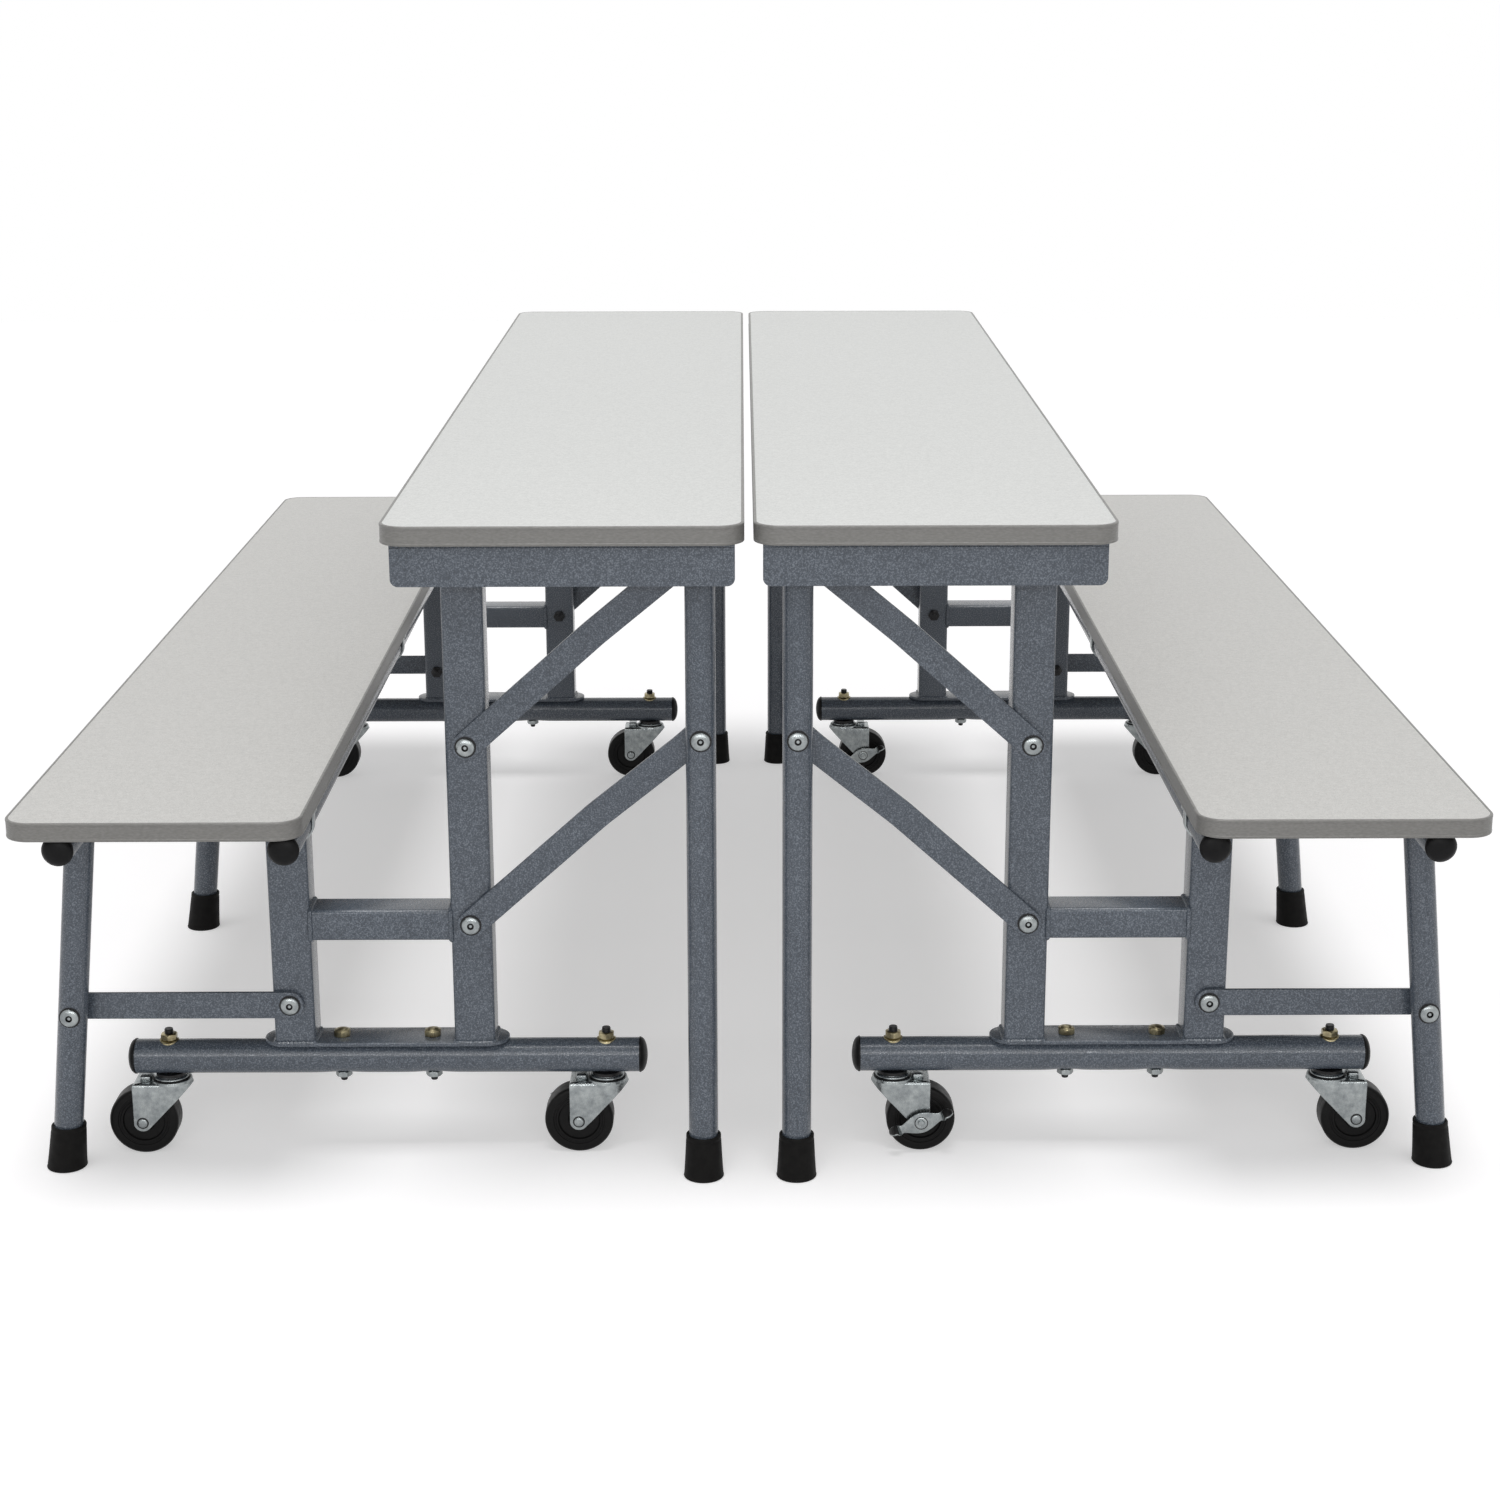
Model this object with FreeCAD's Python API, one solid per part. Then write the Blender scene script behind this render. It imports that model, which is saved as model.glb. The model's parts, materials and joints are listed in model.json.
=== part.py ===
import FreeCAD, Part
import math
import os
from FreeCAD import Vector

# Cafeteria table made of two mobile convertible units that roll together edge to edge.
# Each unit carries half of the table top and one bench. The left unit is modelled in place
# and the right unit is the same unit turned half a turn about the vertical.
# X runs across the table, Y along it, Z up from the floor. All sizes are in millimetres.

os.makedirs("parts", exist_ok=True)

# Overall sizes
length = 1829.0            # of the table top and of the benches
table_height = 737.0
seat_height = 432.0
table_width = 364.0        # of one half of the table top
seat_width = 305.0
centre_gap = 9.0           # between the two halves of the table top
seat_outer_edge = 763.0    # from the middle of the table
board_thick = 20.0
corner_radius = 28.0
edging_thick = 3.0

# Tubes, bars and pins
post_size = 44.5
post_wall = 2.0
post_corner = 3.0
cross_height = 35.0
rail_radius = 15.9         # rails and legs share one round tube
base_radius = 19.05
bar_width = 30.0
bar_thick = 5.0
pin_radius = 5.0
head_radius = 10.0
head_thick = 4.5
bolt_end = 8.0             # of a bolt past what it holds
strap_thick = 2.5
strap_width = 12.0
strap_foot = 14.0          # of the strap's screw flange on each side

# Flats that small round parts are drawn with
pin_flats = 8
head_flats = 8
strap_flats = 12
bar_end_flats = 10
tip_flats = 14
plug_flats = 8
wheel_flats = 22
apron_flats = 12

# Fits
running_clearance = 0.08   # radial, of a pin or a rail in what turns on it
loose_clearance = 0.3      # where faces pass each other
open_clearance = 0.5       # radial, round a pivot that no joint carries
layer_gap = 1.0            # between the flat layers of a linkage

# End frames, measured from the ends of the table and from its middle
post_inset = 147.0         # to the outer face of the posts
base_centre = 400.0
post_pitch = 197.0
base_length = 556.0
base_height = 110.5        # axis of the base tube
plate_length = 270.0
plate_width = 48.0
plate_thick = 4.5
cross_top = 287.0
cope_depth = 8.0           # from the bench rail's axis down to the top of the bench post

# Table linkage
leg_pin_drop = 21.0        # from the board down to the pin at the top of the table leg
brace_rise = 224.0         # from a brace's pivot on the post up to its pivot on the leg
brace_pivot_pitch = 200.0  # between the two pivots, on the post and on the leg alike
leg_from_middle = 50.5
table_leg_inset = 91.0
table_tilt = 60.0          # of the table half when it is up as a back rest
hinge_drop = 31.0          # from the board down to the table's hinge
hinge_ear_width = 36.0
hinge_ear_thick = 3.0
hinge_edge = 12.0          # of post and ear past the hinge
head_room = 10.0           # between the top of the table leg and the board
roller_radius = 9.0
roller_width = 12.0
track_width = 26.0
track_wall = 2.0
track_end = 16.0           # past the middle of the roller at each end of its travel
joggle_start = 62.0        # from the leg pivot back to the bend in a brace
joggle_end = 27.0

# Bench linkage
link_length = 232.0
link_pivot = 180.0         # height of the link's pivots
link_pivot_offset = 3.0    # outward from the post's middle
bench_leg_spread = 22.25   # from the rail down to the link pivot
bench_leg_gap = 2.5        # between the legs and the links behind them
rail_inset = 15.0          # from the end of the seat to the rail's plug
strap_inset = 115.0
strap_from_leg = 48.0

# Aprons and stiffeners under the table
apron_inset = 20.0
apron_depth = 45.0
apron_thick = 3.0
apron_flange = 25.0
apron_corner = 8.0
apron_margin = 9.5
stiffener_size = 25.0
stiffener_thick = 3.0
stiffener_inset = 215.0
stiffener_margin = 66.0

# Rubber and plastic ends
tip_height = 50.0
tip_base_radius = 22.0
tip_top_radius = 19.0
plug_length = 9.0
plug_dome = 0.72           # size of a plug's outer face against its inner one

# Casters
wheel_radius = 38.1
wheel_width = 30.0
axle_radius = 4.5
caster_pitch = 483.0
caster_trail = 31.0
cheek_gap = 34.0
cheek_thick = 2.5
cheek_end_radius = 10.0
cheek_front = 10.0         # from the stem forward to where the crown narrows to its nose
cheek_front_drop = 18.0    # from the crown down to the slanted front edge of the cheek
crown_front = 24.0         # from the stem forward to the tip of the nose
crown_tip = 10.0           # half the width of the nose's tip
crown_thick = 3.0
bridge_from = 21.0         # the block on the crown behind the race, from the stem back
bridge_to = 34.0
bridge_half = 9.0
bridge_height = 5.5
race_radius = 17.0
race_height = 8.0
stem_nut_width = 19.0
stem_nut_height = 8.0
axle_end = 5.0             # room for the end of the axle outside the fork
lever_length = 74.0
lever_width = 20.0
lever_thick = 2.0
lever_tab = 12.0
lever_tilt = 20.0

# What follows from the sizes above
front_end = -length / 2
board_under = table_height - board_thick
seat_under = seat_height - board_thick
table_inner_edge = -centre_gap / 2
table_outer_edge = table_inner_edge - table_width
seat_outer = -seat_outer_edge
seat_inner = seat_outer + seat_width
table_post = -base_centre + post_pitch / 2
bench_post = -base_centre - post_pitch / 2
post_face = front_end + post_inset
post_middle = post_face + post_size / 2
plate_top = base_height + base_radius + plate_thick
leg_top_pin = board_under - leg_pin_drop
leg_low_pin = leg_top_pin - brace_pivot_pitch
brace_high_pivot = leg_top_pin - brace_rise
brace_low_pivot = leg_low_pin - brace_rise
leg_middle = -leg_from_middle
brace_run = leg_middle - table_post
brace_length = math.hypot(brace_run, brace_rise)
brace_angle = math.degrees(math.atan2(brace_rise, brace_run))
leg_top = board_under - head_room
table_hinge = board_under - hinge_drop
link_inner_x = bench_post - link_pivot_offset
link_outer_x = link_inner_x - link_length
outer_rail_x = link_outer_x + bench_leg_spread
seat_hinge_x = outer_rail_x + link_length
seat_hinge_z = seat_under - rail_radius - loose_clearance
leg_lean = bench_leg_spread / (seat_hinge_z - link_pivot)
bench_foot_x = link_outer_x - leg_lean * link_pivot
rail_end = length / 2 - rail_inset - plug_length
crown_top = base_height - base_radius - race_height

# Layers of the linkages, each from its outer to its inner face along Y
bar_front = post_face - layer_gap - bar_thick
bench_leg_y = bar_front - bench_leg_gap - rail_radius
table_leg_y = front_end + table_leg_inset
leg_bar_front = table_leg_y + rail_radius + layer_gap
roller_front = leg_bar_front + bar_thick + 2 * layer_gap


def box(x0, x1, y0, y1, z0, z1):
    return Part.makeBox(x1 - x0, y1 - y0, z1 - z0, Vector(x0, y0, z0))


def rodAlongY(x, z, y0, y1, radius):
    return Part.makeCylinder(radius, y1 - y0, Vector(x, y0, z), Vector(0, 1, 0))


def prism(points, direction):
    corners = [Vector(*p) for p in points]
    return Part.Face(Part.makePolygon(corners + corners[:1])).extrude(Vector(*direction))


def ringPoints(radius, flats, first=0.0, last=None):
    # corners of a regular polygon, or of the part of it between two angles
    if last is None:
        angles = [first + 360.0 * i / flats for i in range(flats)]
    else:
        steps = round(abs(last - first) * flats / 360.0)
        angles = [first + (last - first) * i / steps for i in range(steps + 1)]
    return [(radius * math.cos(math.radians(a)), radius * math.sin(math.radians(a))) for a in angles]


def cornerRadius(inner_radius, flats):
    # of a polygon whose flats just touch a circle inside it
    return inner_radius / math.cos(math.pi / flats)


def flatRodAlongY(x, z, y0, y1, radius, flats):
    points = [(x + u, y0, z + v) for u, v in ringPoints(radius, flats)]
    return prism(points, (0, y1 - y0, 0))


def flatRodAlongZ(x, y, z0, z1, radius, flats):
    points = [(x + u, y + v, z0) for u, v in ringPoints(radius, flats)]
    return prism(points, (0, 0, z1 - z0))


def pinHole(x, z, y0, y1, clearance):
    return flatRodAlongY(x, z, y0, y1, cornerRadius(pin_radius + clearance, pin_flats), pin_flats)


def merged(first, others):
    return first.fuse(others).removeSplitter()


def rearCopy(shape):
    return shape.mirror(Vector(0, 0, 0), Vector(0, 1, 0))


def atBothEnds(shapes):
    return shapes + [rearCopy(s) for s in shapes]


def group(shapes):
    solids = []
    for shape in shapes:
        solids.extend(shape.Solids)
    return Part.Compound(solids)


# Boards, each a core with a moulded edging round it
def roundedPlate(x0, x1, y0, y1, z0, z1, radius):
    plate = box(x0, x1, y0, y1, z0, z1)
    uprights = [e for e in plate.Edges if abs(e.tangentAt(e.FirstParameter).z) > 0.99]
    return plate.makeFillet(radius, uprights)


def board(x0, x1, z_top):
    return roundedPlate(x0 + edging_thick, x1 - edging_thick,
                        front_end + edging_thick, -front_end - edging_thick,
                        z_top - board_thick, z_top, corner_radius - edging_thick)


def edging(x0, x1, z_top):
    rim = roundedPlate(x0, x1, front_end, -front_end, z_top - board_thick, z_top, corner_radius)
    return rim.cut(board(x0, x1, z_top))


# Welded end frames: square posts, a cross tube and a foot plate on a round base tube
def squareTube(x0, x1, z0, z1, along):
    y0 = post_face
    y1 = post_face + post_size
    tube = box(x0, x1, y0, y1, z0, z1)
    edges = [e for e in tube.Edges if abs(e.tangentAt(e.FirstParameter).dot(along)) > 0.99]
    tube = tube.makeChamfer(post_corner, edges)
    end_x = post_wall * (1 - abs(along.x))
    end_z = post_wall * (1 - abs(along.z))
    return tube.cut(box(x0 + end_x, x1 - end_x, y0 + post_wall, y1 - post_wall, z0 + end_z, z1 - end_z))


def tablePost():
    half = post_size / 2
    post = squareTube(table_post - half, table_post + half, plate_top, table_hinge + hinge_edge,
                      Vector(0, 0, 1))
    return post.cut(pinHole(table_post, table_hinge, post_face, post_face + post_size, 0))


def benchPost():
    half = post_size / 2
    post = squareTube(bench_post - half, bench_post + half, plate_top, seat_hinge_z - cope_depth,
                      Vector(0, 0, 1))
    return post.cut(flatRodAlongY(seat_hinge_x, seat_hinge_z, post_face, post_face + post_size,
                                  cornerRadius(rail_radius, strap_flats), strap_flats))


def crossTube():
    half = post_size / 2
    return squareTube(bench_post + half, table_post - half, cross_top - cross_height, cross_top,
                      Vector(1, 0, 0))


def footPlate():
    reach = (plate_length - plate_width) / 2
    x0 = -base_centre - reach
    x1 = -base_centre + reach
    points = [(x1 + u, post_middle + v) for u, v in ringPoints(plate_width / 2, bar_end_flats, -90, 90)]
    points += [(x0 + u, post_middle + v) for u, v in ringPoints(plate_width / 2, bar_end_flats, 90, 270)]
    z0 = plate_top - plate_thick
    return prism([(x, y, z0) for x, y in points], (0, 0, plate_thick))


def endFrames():
    return group(atBothEnds([tablePost(), benchPost(), crossTube(), footPlate()]))


def baseTubes():
    x0 = -base_centre - base_length / 2
    tube = Part.makeCylinder(base_radius, base_length, Vector(x0, post_middle, base_height),
                             Vector(1, 0, 0))
    return group(atBothEnds([tube]))


def benchHingeRail():
    return group([rodAlongY(seat_hinge_x, seat_hinge_z, -rail_end, rail_end, rail_radius)])


# Domed plugs in the ends of the tubes
def plug(radius, place, out):
    # a short prism with a smaller face at its outer end
    ring = [Vector(0, u, v) for u, v in ringPoints(radius, plug_flats)]
    small = [Vector(plug_length, p.y * plug_dome, p.z * plug_dome) for p in ring]
    rings = [Part.makePolygon(r + r[:1]) for r in (ring, small)]
    shape = Part.makeLoft(rings, True, True)
    shape.Placement = FreeCAD.Placement(place, FreeCAD.Rotation(Vector(1, 0, 0), out))
    return shape


def framePlugs():
    half = base_length / 2
    ends = [plug(base_radius, Vector(-base_centre + side * half, post_middle, base_height),
                 Vector(side, 0, 0)) for side in (-1, 1)]
    rail = plug(rail_radius, Vector(seat_hinge_x, -rail_end, seat_hinge_z), Vector(0, -1, 0))
    return group(atBothEnds(ends + [rail]))


# Bolts that the linkages turn on
def boltHead(x, z, y1):
    return flatRodAlongY(x, z, y1 - head_thick, y1, head_radius, head_flats)


def shank(x, z, y0, y1):
    return flatRodAlongY(x, z, y0, y1, pin_radius, pin_flats)


def barBolt(x, z):
    head_back = bar_front - loose_clearance
    return merged(boltHead(x, z, head_back), [shank(x, z, head_back, post_face)])


def hingeBolt():
    head_back = post_face - layer_gap - hinge_ear_thick - loose_clearance
    end = post_face + post_size + layer_gap + hinge_ear_thick + bolt_end
    return merged(boltHead(table_post, table_hinge, head_back),
                  [shank(table_post, table_hinge, head_back, end)])


def legBolt(x, z, leg_front, bar_face):
    # the head on the front of a round leg and the shank through the bar behind it
    leg_back = leg_front + 2 * rail_radius
    return [boltHead(x, z, leg_front), shank(x, z, leg_back, bar_face + bolt_end)]


# Casters: what is fixed to the base tube
def stemPlaces():
    half = caster_pitch / 2
    return [-base_centre - half, -base_centre + half]


def casterStem(x):
    tube_top = base_height + base_radius
    tube_bottom = base_height - base_radius
    race = flatRodAlongZ(x, post_middle, crown_top + loose_clearance, tube_bottom,
                         race_radius, head_flats)
    stem_nut = flatRodAlongZ(x, post_middle, tube_top, tube_top + stem_nut_height,
                             cornerRadius(stem_nut_width / 2, 6), 6)
    return [race, stem_nut]


def frameBolts():
    bolts = [barBolt(table_post, brace_low_pivot), barBolt(table_post, brace_high_pivot),
             barBolt(link_inner_x, link_pivot), hingeBolt()]
    for x in stemPlaces():
        bolts += casterStem(x)
    return group(atBothEnds(bolts))


# Flat bars of the linkages
def barPlan(reach, front, end_front):
    # plan of a bar along +X from its first pivot, stepped sideways near its second one
    start = -bar_width / 2
    end = reach + bar_width / 2
    if end_front == front:
        return [(start, front), (end, front), (end, front + bar_thick), (start, front + bar_thick)]
    bend = reach - joggle_start
    flat = reach - joggle_end
    return [(start, front), (bend, front), (flat, end_front), (end, end_front),
            (end, end_front + bar_thick), (flat, end_front + bar_thick),
            (bend, front + bar_thick), (start, front + bar_thick)]


def bar(reach, front, end_front):
    half = bar_width / 2
    strip = prism([(x, y, -half) for x, y in barPlan(reach, front, end_front)], (0, 0, bar_width))
    outline = [(reach + u, v) for u, v in ringPoints(half, bar_end_flats, -90, 90)]
    outline += ringPoints(half, bar_end_flats, 90, 270)
    shape = strip.common(prism([(x, front_end, z) for x, z in outline], (0, length / 2, 0)))
    return shape.cut([pinHole(0, 0, front_end, 0, running_clearance),
                      pinHole(reach, 0, front_end, 0, open_clearance)])


def place(shape, x, z, turn):
    shape.rotate(Vector(0, 0, 0), Vector(0, 1, 0), -turn)
    shape.translate(Vector(x, 0, z))
    return shape


def braces(pivot_height):
    brace = bar(brace_length, bar_front, leg_bar_front)
    return group(atBothEnds([place(brace, table_post, pivot_height, brace_angle)]))


def benchLinks():
    link = bar(link_length, bar_front, bar_front)
    return group(atBothEnds([place(link, link_inner_x, link_pivot, 180.0)]))


# Legs with rubber tips
def rubberTip(foot_x, top_x, y):
    foot = [Vector(foot_x + u, y + v, 0) for u, v in ringPoints(tip_base_radius, tip_flats)]
    top = [Vector(top_x + u, y + v, tip_height) for u, v in ringPoints(tip_top_radius, tip_flats)]
    rings = [Part.makePolygon(r + r[:1]) for r in (foot, top)]
    return Part.makeLoft(rings, True, True)


def tableLegs():
    leg = Part.makeCylinder(rail_radius, leg_top - tip_height, Vector(leg_middle, table_leg_y, tip_height))
    return group(atBothEnds([leg]))


def tableLegTips():
    return group(atBothEnds([rubberTip(leg_middle, leg_middle, table_leg_y)]))


def tableLegPins():
    leg_front = table_leg_y - rail_radius
    leg_back = table_leg_y + rail_radius
    roller = flatRodAlongY(leg_middle, leg_top_pin, roller_front, roller_front + roller_width,
                           roller_radius, head_flats)
    upper = merged(shank(leg_middle, leg_top_pin, leg_back, roller_front), [roller])
    return group(atBothEnds(legBolt(leg_middle, leg_low_pin, leg_front, leg_bar_front + bar_thick) +
                            [boltHead(leg_middle, leg_top_pin, leg_front), upper]))


def benchLeg(y):
    foot = Vector(bench_foot_x, y, 0)
    top = Vector(outer_rail_x, y, seat_hinge_z)
    leg = Part.makeCylinder(rail_radius, (top - foot).Length, foot, top - foot)
    reach = 3 * rail_radius
    rail = rodAlongY(outer_rail_x, seat_hinge_z, y - reach, y + reach, rail_radius)
    stump = box(bench_foot_x - reach, bench_foot_x + reach, y - reach, y + reach, -reach, tip_height)
    return leg.cut([rail, stump]).Solids[0]


def benchLegs():
    rail = rodAlongY(outer_rail_x, seat_hinge_z, -rail_end, rail_end, rail_radius)
    return group([rail, benchLeg(0.0)] + atBothEnds([benchLeg(bench_leg_y)]))


def benchLegTips():
    top_x = bench_foot_x + leg_lean * tip_height
    tips = [rubberTip(bench_foot_x, top_x, y) for y in (bench_leg_y, 0.0, -bench_leg_y)]
    end = plug(rail_radius, Vector(outer_rail_x, -rail_end, seat_hinge_z), Vector(0, -1, 0))
    return group(tips + atBothEnds([end]))


def benchLegBolts():
    leg_front = bench_leg_y - rail_radius
    return group(atBothEnds(legBolt(link_outer_x, link_pivot, leg_front, bar_front + bar_thick)))


# Straps that hold the seat down on the two rails that it turns about
def strap(x, y):
    inner = cornerRadius(rail_radius + running_clearance, strap_flats)
    outer = inner + strap_thick
    foot = outer + strap_foot
    points = [(-foot, seat_under), (-foot, seat_under - strap_thick), (-outer, seat_under - strap_thick)]
    points += [(u, seat_hinge_z + v) for u, v in ringPoints(outer, strap_flats, 180, 360)]
    points += [(outer, seat_under - strap_thick), (foot, seat_under - strap_thick), (foot, seat_under),
               (inner, seat_under)]
    points += [(u, seat_hinge_z + v) for u, v in ringPoints(inner, strap_flats, 360, 180)]
    points += [(-inner, seat_under)]
    return prism([(x + u, y - strap_width / 2, z) for u, z in points], (0, strap_width, 0))


def seatStraps():
    inner_y = front_end + strap_inset
    outer_y = bench_leg_y + strap_from_leg
    return group([strap(seat_hinge_x, 0.0)] +
                 atBothEnds([strap(seat_hinge_x, inner_y), strap(outer_rail_x, outer_y)]))


# Under the table: aprons, hinge brackets, roller tracks and stiffening angles
def apron():
    x0 = table_outer_edge + apron_margin
    x1 = table_inner_edge - apron_margin
    y0 = front_end + apron_inset
    z0 = board_under - apron_depth
    low = z0 + apron_corner
    points = [(x1, board_under)]
    points += [(x1 - apron_corner + u, low + v) for u, v in ringPoints(apron_corner, apron_flats, 0, -90)]
    points += [(x0 + apron_corner + u, low + v) for u, v in ringPoints(apron_corner, apron_flats, 270, 180)]
    points += [(x0, board_under)]
    web = prism([(x, y0, z) for x, z in points], (0, apron_thick, 0))
    flange = box(x0, x1, y0, y0 + apron_flange, board_under - apron_thick, board_under)
    return merged(web, [flange])


def hingeBracket():
    y0 = post_face - layer_gap - hinge_ear_thick
    y1 = post_face + post_size + layer_gap + hinge_ear_thick
    z0 = table_hinge - hinge_edge
    z1 = board_under - hinge_ear_thick
    section = [(y0, z0), (y0, board_under), (y1, board_under), (y1, z0),
               (y1 - hinge_ear_thick, z0), (y1 - hinge_ear_thick, z1),
               (y0 + hinge_ear_thick, z1), (y0 + hinge_ear_thick, z0)]
    x0 = table_post - hinge_ear_width / 2
    bracket = prism([(x0, y, z) for y, z in section], (hinge_ear_width, 0, 0))
    return bracket.cut(pinHole(table_post, table_hinge, y0, y1, running_clearance))


def tiltedRollerPlace():
    # distance from the hinge to the roller, along the board, when the table half is tilted up
    tilt = math.radians(table_tilt)
    above = leg_top_pin - table_hinge
    from_brace = table_hinge - brace_high_pivot
    half = from_brace * math.sin(tilt)
    rest = above ** 2 + 2 * above * from_brace * math.cos(tilt) + from_brace ** 2 - brace_length ** 2
    return math.sqrt(half ** 2 - rest) - half


def rollerTrack():
    x0 = table_post + tiltedRollerPlace() - track_end
    x1 = leg_middle + track_end
    z0 = leg_top_pin + roller_radius + loose_clearance
    middle = roller_front + roller_width / 2
    half = roller_width / 2
    wide = track_width / 2
    section = [(-wide, board_under), (-wide, board_under - track_wall),
               (-half, board_under - track_wall), (-half, z0), (half, z0),
               (half, board_under - track_wall), (wide, board_under - track_wall),
               (wide, board_under), (half - track_wall, board_under),
               (half - track_wall, z0 + track_wall), (track_wall - half, z0 + track_wall),
               (track_wall - half, board_under)]
    return prism([(x0, middle + y, z) for y, z in section], (x1 - x0, 0, 0))


def stiffener(x):
    y0 = front_end + stiffener_inset
    section = [(0, 0), (stiffener_size, 0), (stiffener_size, -stiffener_thick),
               (stiffener_thick, -stiffener_thick), (stiffener_thick, -stiffener_size),
               (0, -stiffener_size)]
    return prism([(x + u, y0, board_under + v) for u, v in section], (0, -2 * y0, 0))


def tableFrame():
    stiffeners = [stiffener(table_outer_edge + stiffener_margin),
                  stiffener(table_inner_edge - stiffener_margin - stiffener_size)]
    return group(atBothEnds([apron(), hingeBracket(), rollerTrack()]) + stiffeners)


# Casters, modelled about the stem's axis with the wheel trailing toward -X
def wheel():
    points = [(u - caster_trail, -wheel_width / 2, v + wheel_radius)
              for u, v in ringPoints(wheel_radius, wheel_flats, -90, 270)[:-1]]
    bore = flatRodAlongY(-caster_trail, wheel_radius, -wheel_width / 2, wheel_width / 2,
                         cornerRadius(axle_radius + running_clearance, pin_flats), pin_flats)
    return prism(points, (0, wheel_width, 0)).cut(bore)


def cheek(y0):
    low = cheek_end_radius
    slope = low / 2
    points = [(cheek_front, crown_top), (cheek_front, crown_top - cheek_front_drop),
              (low - caster_trail, wheel_radius - slope), (slope - caster_trail, wheel_radius - low),
              (-slope - caster_trail, wheel_radius - low), (-low - caster_trail, wheel_radius - slope),
              (-low - caster_trail, crown_top)]
    return prism([(x, y0, z) for x, z in points], (0, cheek_thick, 0))


def crown(end):
    back = -caster_trail - cheek_end_radius
    plan = [(back, -end), (cheek_front, -end), (crown_front, -crown_tip), (crown_front, crown_tip),
            (cheek_front, end), (back, end)]
    return prism([(x, y, crown_top - crown_thick) for x, y in plan], (0, 0, crown_thick))


def fork():
    half = cheek_gap / 2
    end = half + cheek_thick
    bridge = box(-bridge_to, -bridge_from, -bridge_half, bridge_half, crown_top, crown_top + bridge_height)
    axle = flatRodAlongY(-caster_trail, wheel_radius, -half, half, axle_radius, pin_flats)
    return group([merged(crown(end), [cheek(half), cheek(-end), bridge]), axle])


def brakeLever():
    y0 = cheek_gap / 2 + cheek_thick + axle_end
    y1 = y0 + lever_thick
    half = lever_length / 2
    plan = [(-half, y0), (half, y0), (half, y0 + lever_tab), (half - lever_thick, y0 + lever_tab),
            (half - lever_thick, y1), (lever_thick - half, y1), (lever_thick - half, y0 + lever_tab),
            (-half, y0 + lever_tab)]
    lever = prism([(x, y, -lever_width / 2) for x, y in plan], (0, 0, lever_width))
    return place(lever, -caster_trail, wheel_radius, -lever_tilt)


def casterPlaces():
    outer, inner = stemPlaces()
    return {"front_outer": (outer, post_middle), "front_inner": (inner, post_middle),
            "rear_outer": (outer, -post_middle), "rear_inner": (inner, -post_middle)}


def moved(shape, x, y):
    copy = shape.copy()
    copy.translate(Vector(x, y, 0))
    return copy


def casterPieces():
    pieces = {}
    for name, (x, y) in casterPlaces().items():
        pieces[name + "_fork"] = moved(fork(), x, y)
        pieces[name + "_wheel"] = moved(wheel(), x, y)
        if name.endswith("inner"):
            pieces[name + "_brake"] = moved(brakeLever(), x, y)
    return pieces


def unitPieces():
    return {
        "end_frames": endFrames(),
        "base_tubes": baseTubes(),
        "bench_hinge_rail": benchHingeRail(),
        "frame_plugs": framePlugs(),
        "frame_bolts": frameBolts(),
        "table_board": board(table_outer_edge, table_inner_edge, table_height),
        "table_edging": edging(table_outer_edge, table_inner_edge, table_height),
        "table_frame": tableFrame(),
        "upper_braces": braces(brace_high_pivot),
        "lower_braces": braces(brace_low_pivot),
        "table_legs": tableLegs(),
        "table_leg_tips": tableLegTips(),
        "table_leg_pins": tableLegPins(),
        "seat_board": board(seat_outer, seat_inner, seat_height),
        "seat_edging": edging(seat_outer, seat_inner, seat_height),
        "seat_straps": seatStraps(),
        "bench_legs": benchLegs(),
        "bench_leg_tips": benchLegTips(),
        "bench_leg_bolts": benchLegBolts(),
        "bench_links": benchLinks(),
        **casterPieces(),
    }


def writeUnits():
    for name, shape in unitPieces().items():
        shape.exportStep("parts/left_" + name + ".step")
        turned = shape.copy()
        turned.rotate(Vector(0, 0, 0), Vector(0, 0, 1), 180)
        turned.exportStep("parts/right_" + name + ".step")


writeUnits()
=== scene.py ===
import json
import math

import bmesh
import bpy
import numpy as np
from mathutils import Matrix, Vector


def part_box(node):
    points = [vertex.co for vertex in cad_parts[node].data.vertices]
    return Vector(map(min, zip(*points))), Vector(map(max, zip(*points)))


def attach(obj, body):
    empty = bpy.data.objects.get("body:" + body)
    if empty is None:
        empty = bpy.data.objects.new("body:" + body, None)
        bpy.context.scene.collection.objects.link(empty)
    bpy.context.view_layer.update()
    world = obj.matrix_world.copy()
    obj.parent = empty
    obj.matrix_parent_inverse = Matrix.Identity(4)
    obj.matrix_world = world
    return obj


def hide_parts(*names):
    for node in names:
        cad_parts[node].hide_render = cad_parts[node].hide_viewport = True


# Mobile cafeteria table: two units, each with half of the table top and a bench on a folding
# tube frame. Every piece is worked out for the left unit, and the right unit is the same one
# turned half a turn about the vertical.

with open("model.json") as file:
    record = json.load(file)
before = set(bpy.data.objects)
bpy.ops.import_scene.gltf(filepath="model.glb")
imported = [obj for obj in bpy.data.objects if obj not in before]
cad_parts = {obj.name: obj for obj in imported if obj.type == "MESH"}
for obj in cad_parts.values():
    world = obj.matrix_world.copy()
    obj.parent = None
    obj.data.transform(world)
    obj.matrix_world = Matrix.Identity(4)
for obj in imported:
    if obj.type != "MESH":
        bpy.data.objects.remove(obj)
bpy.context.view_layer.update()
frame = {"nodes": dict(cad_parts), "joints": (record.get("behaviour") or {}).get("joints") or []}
print("frame loaded:", len(frame["nodes"]), "nodes")

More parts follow.
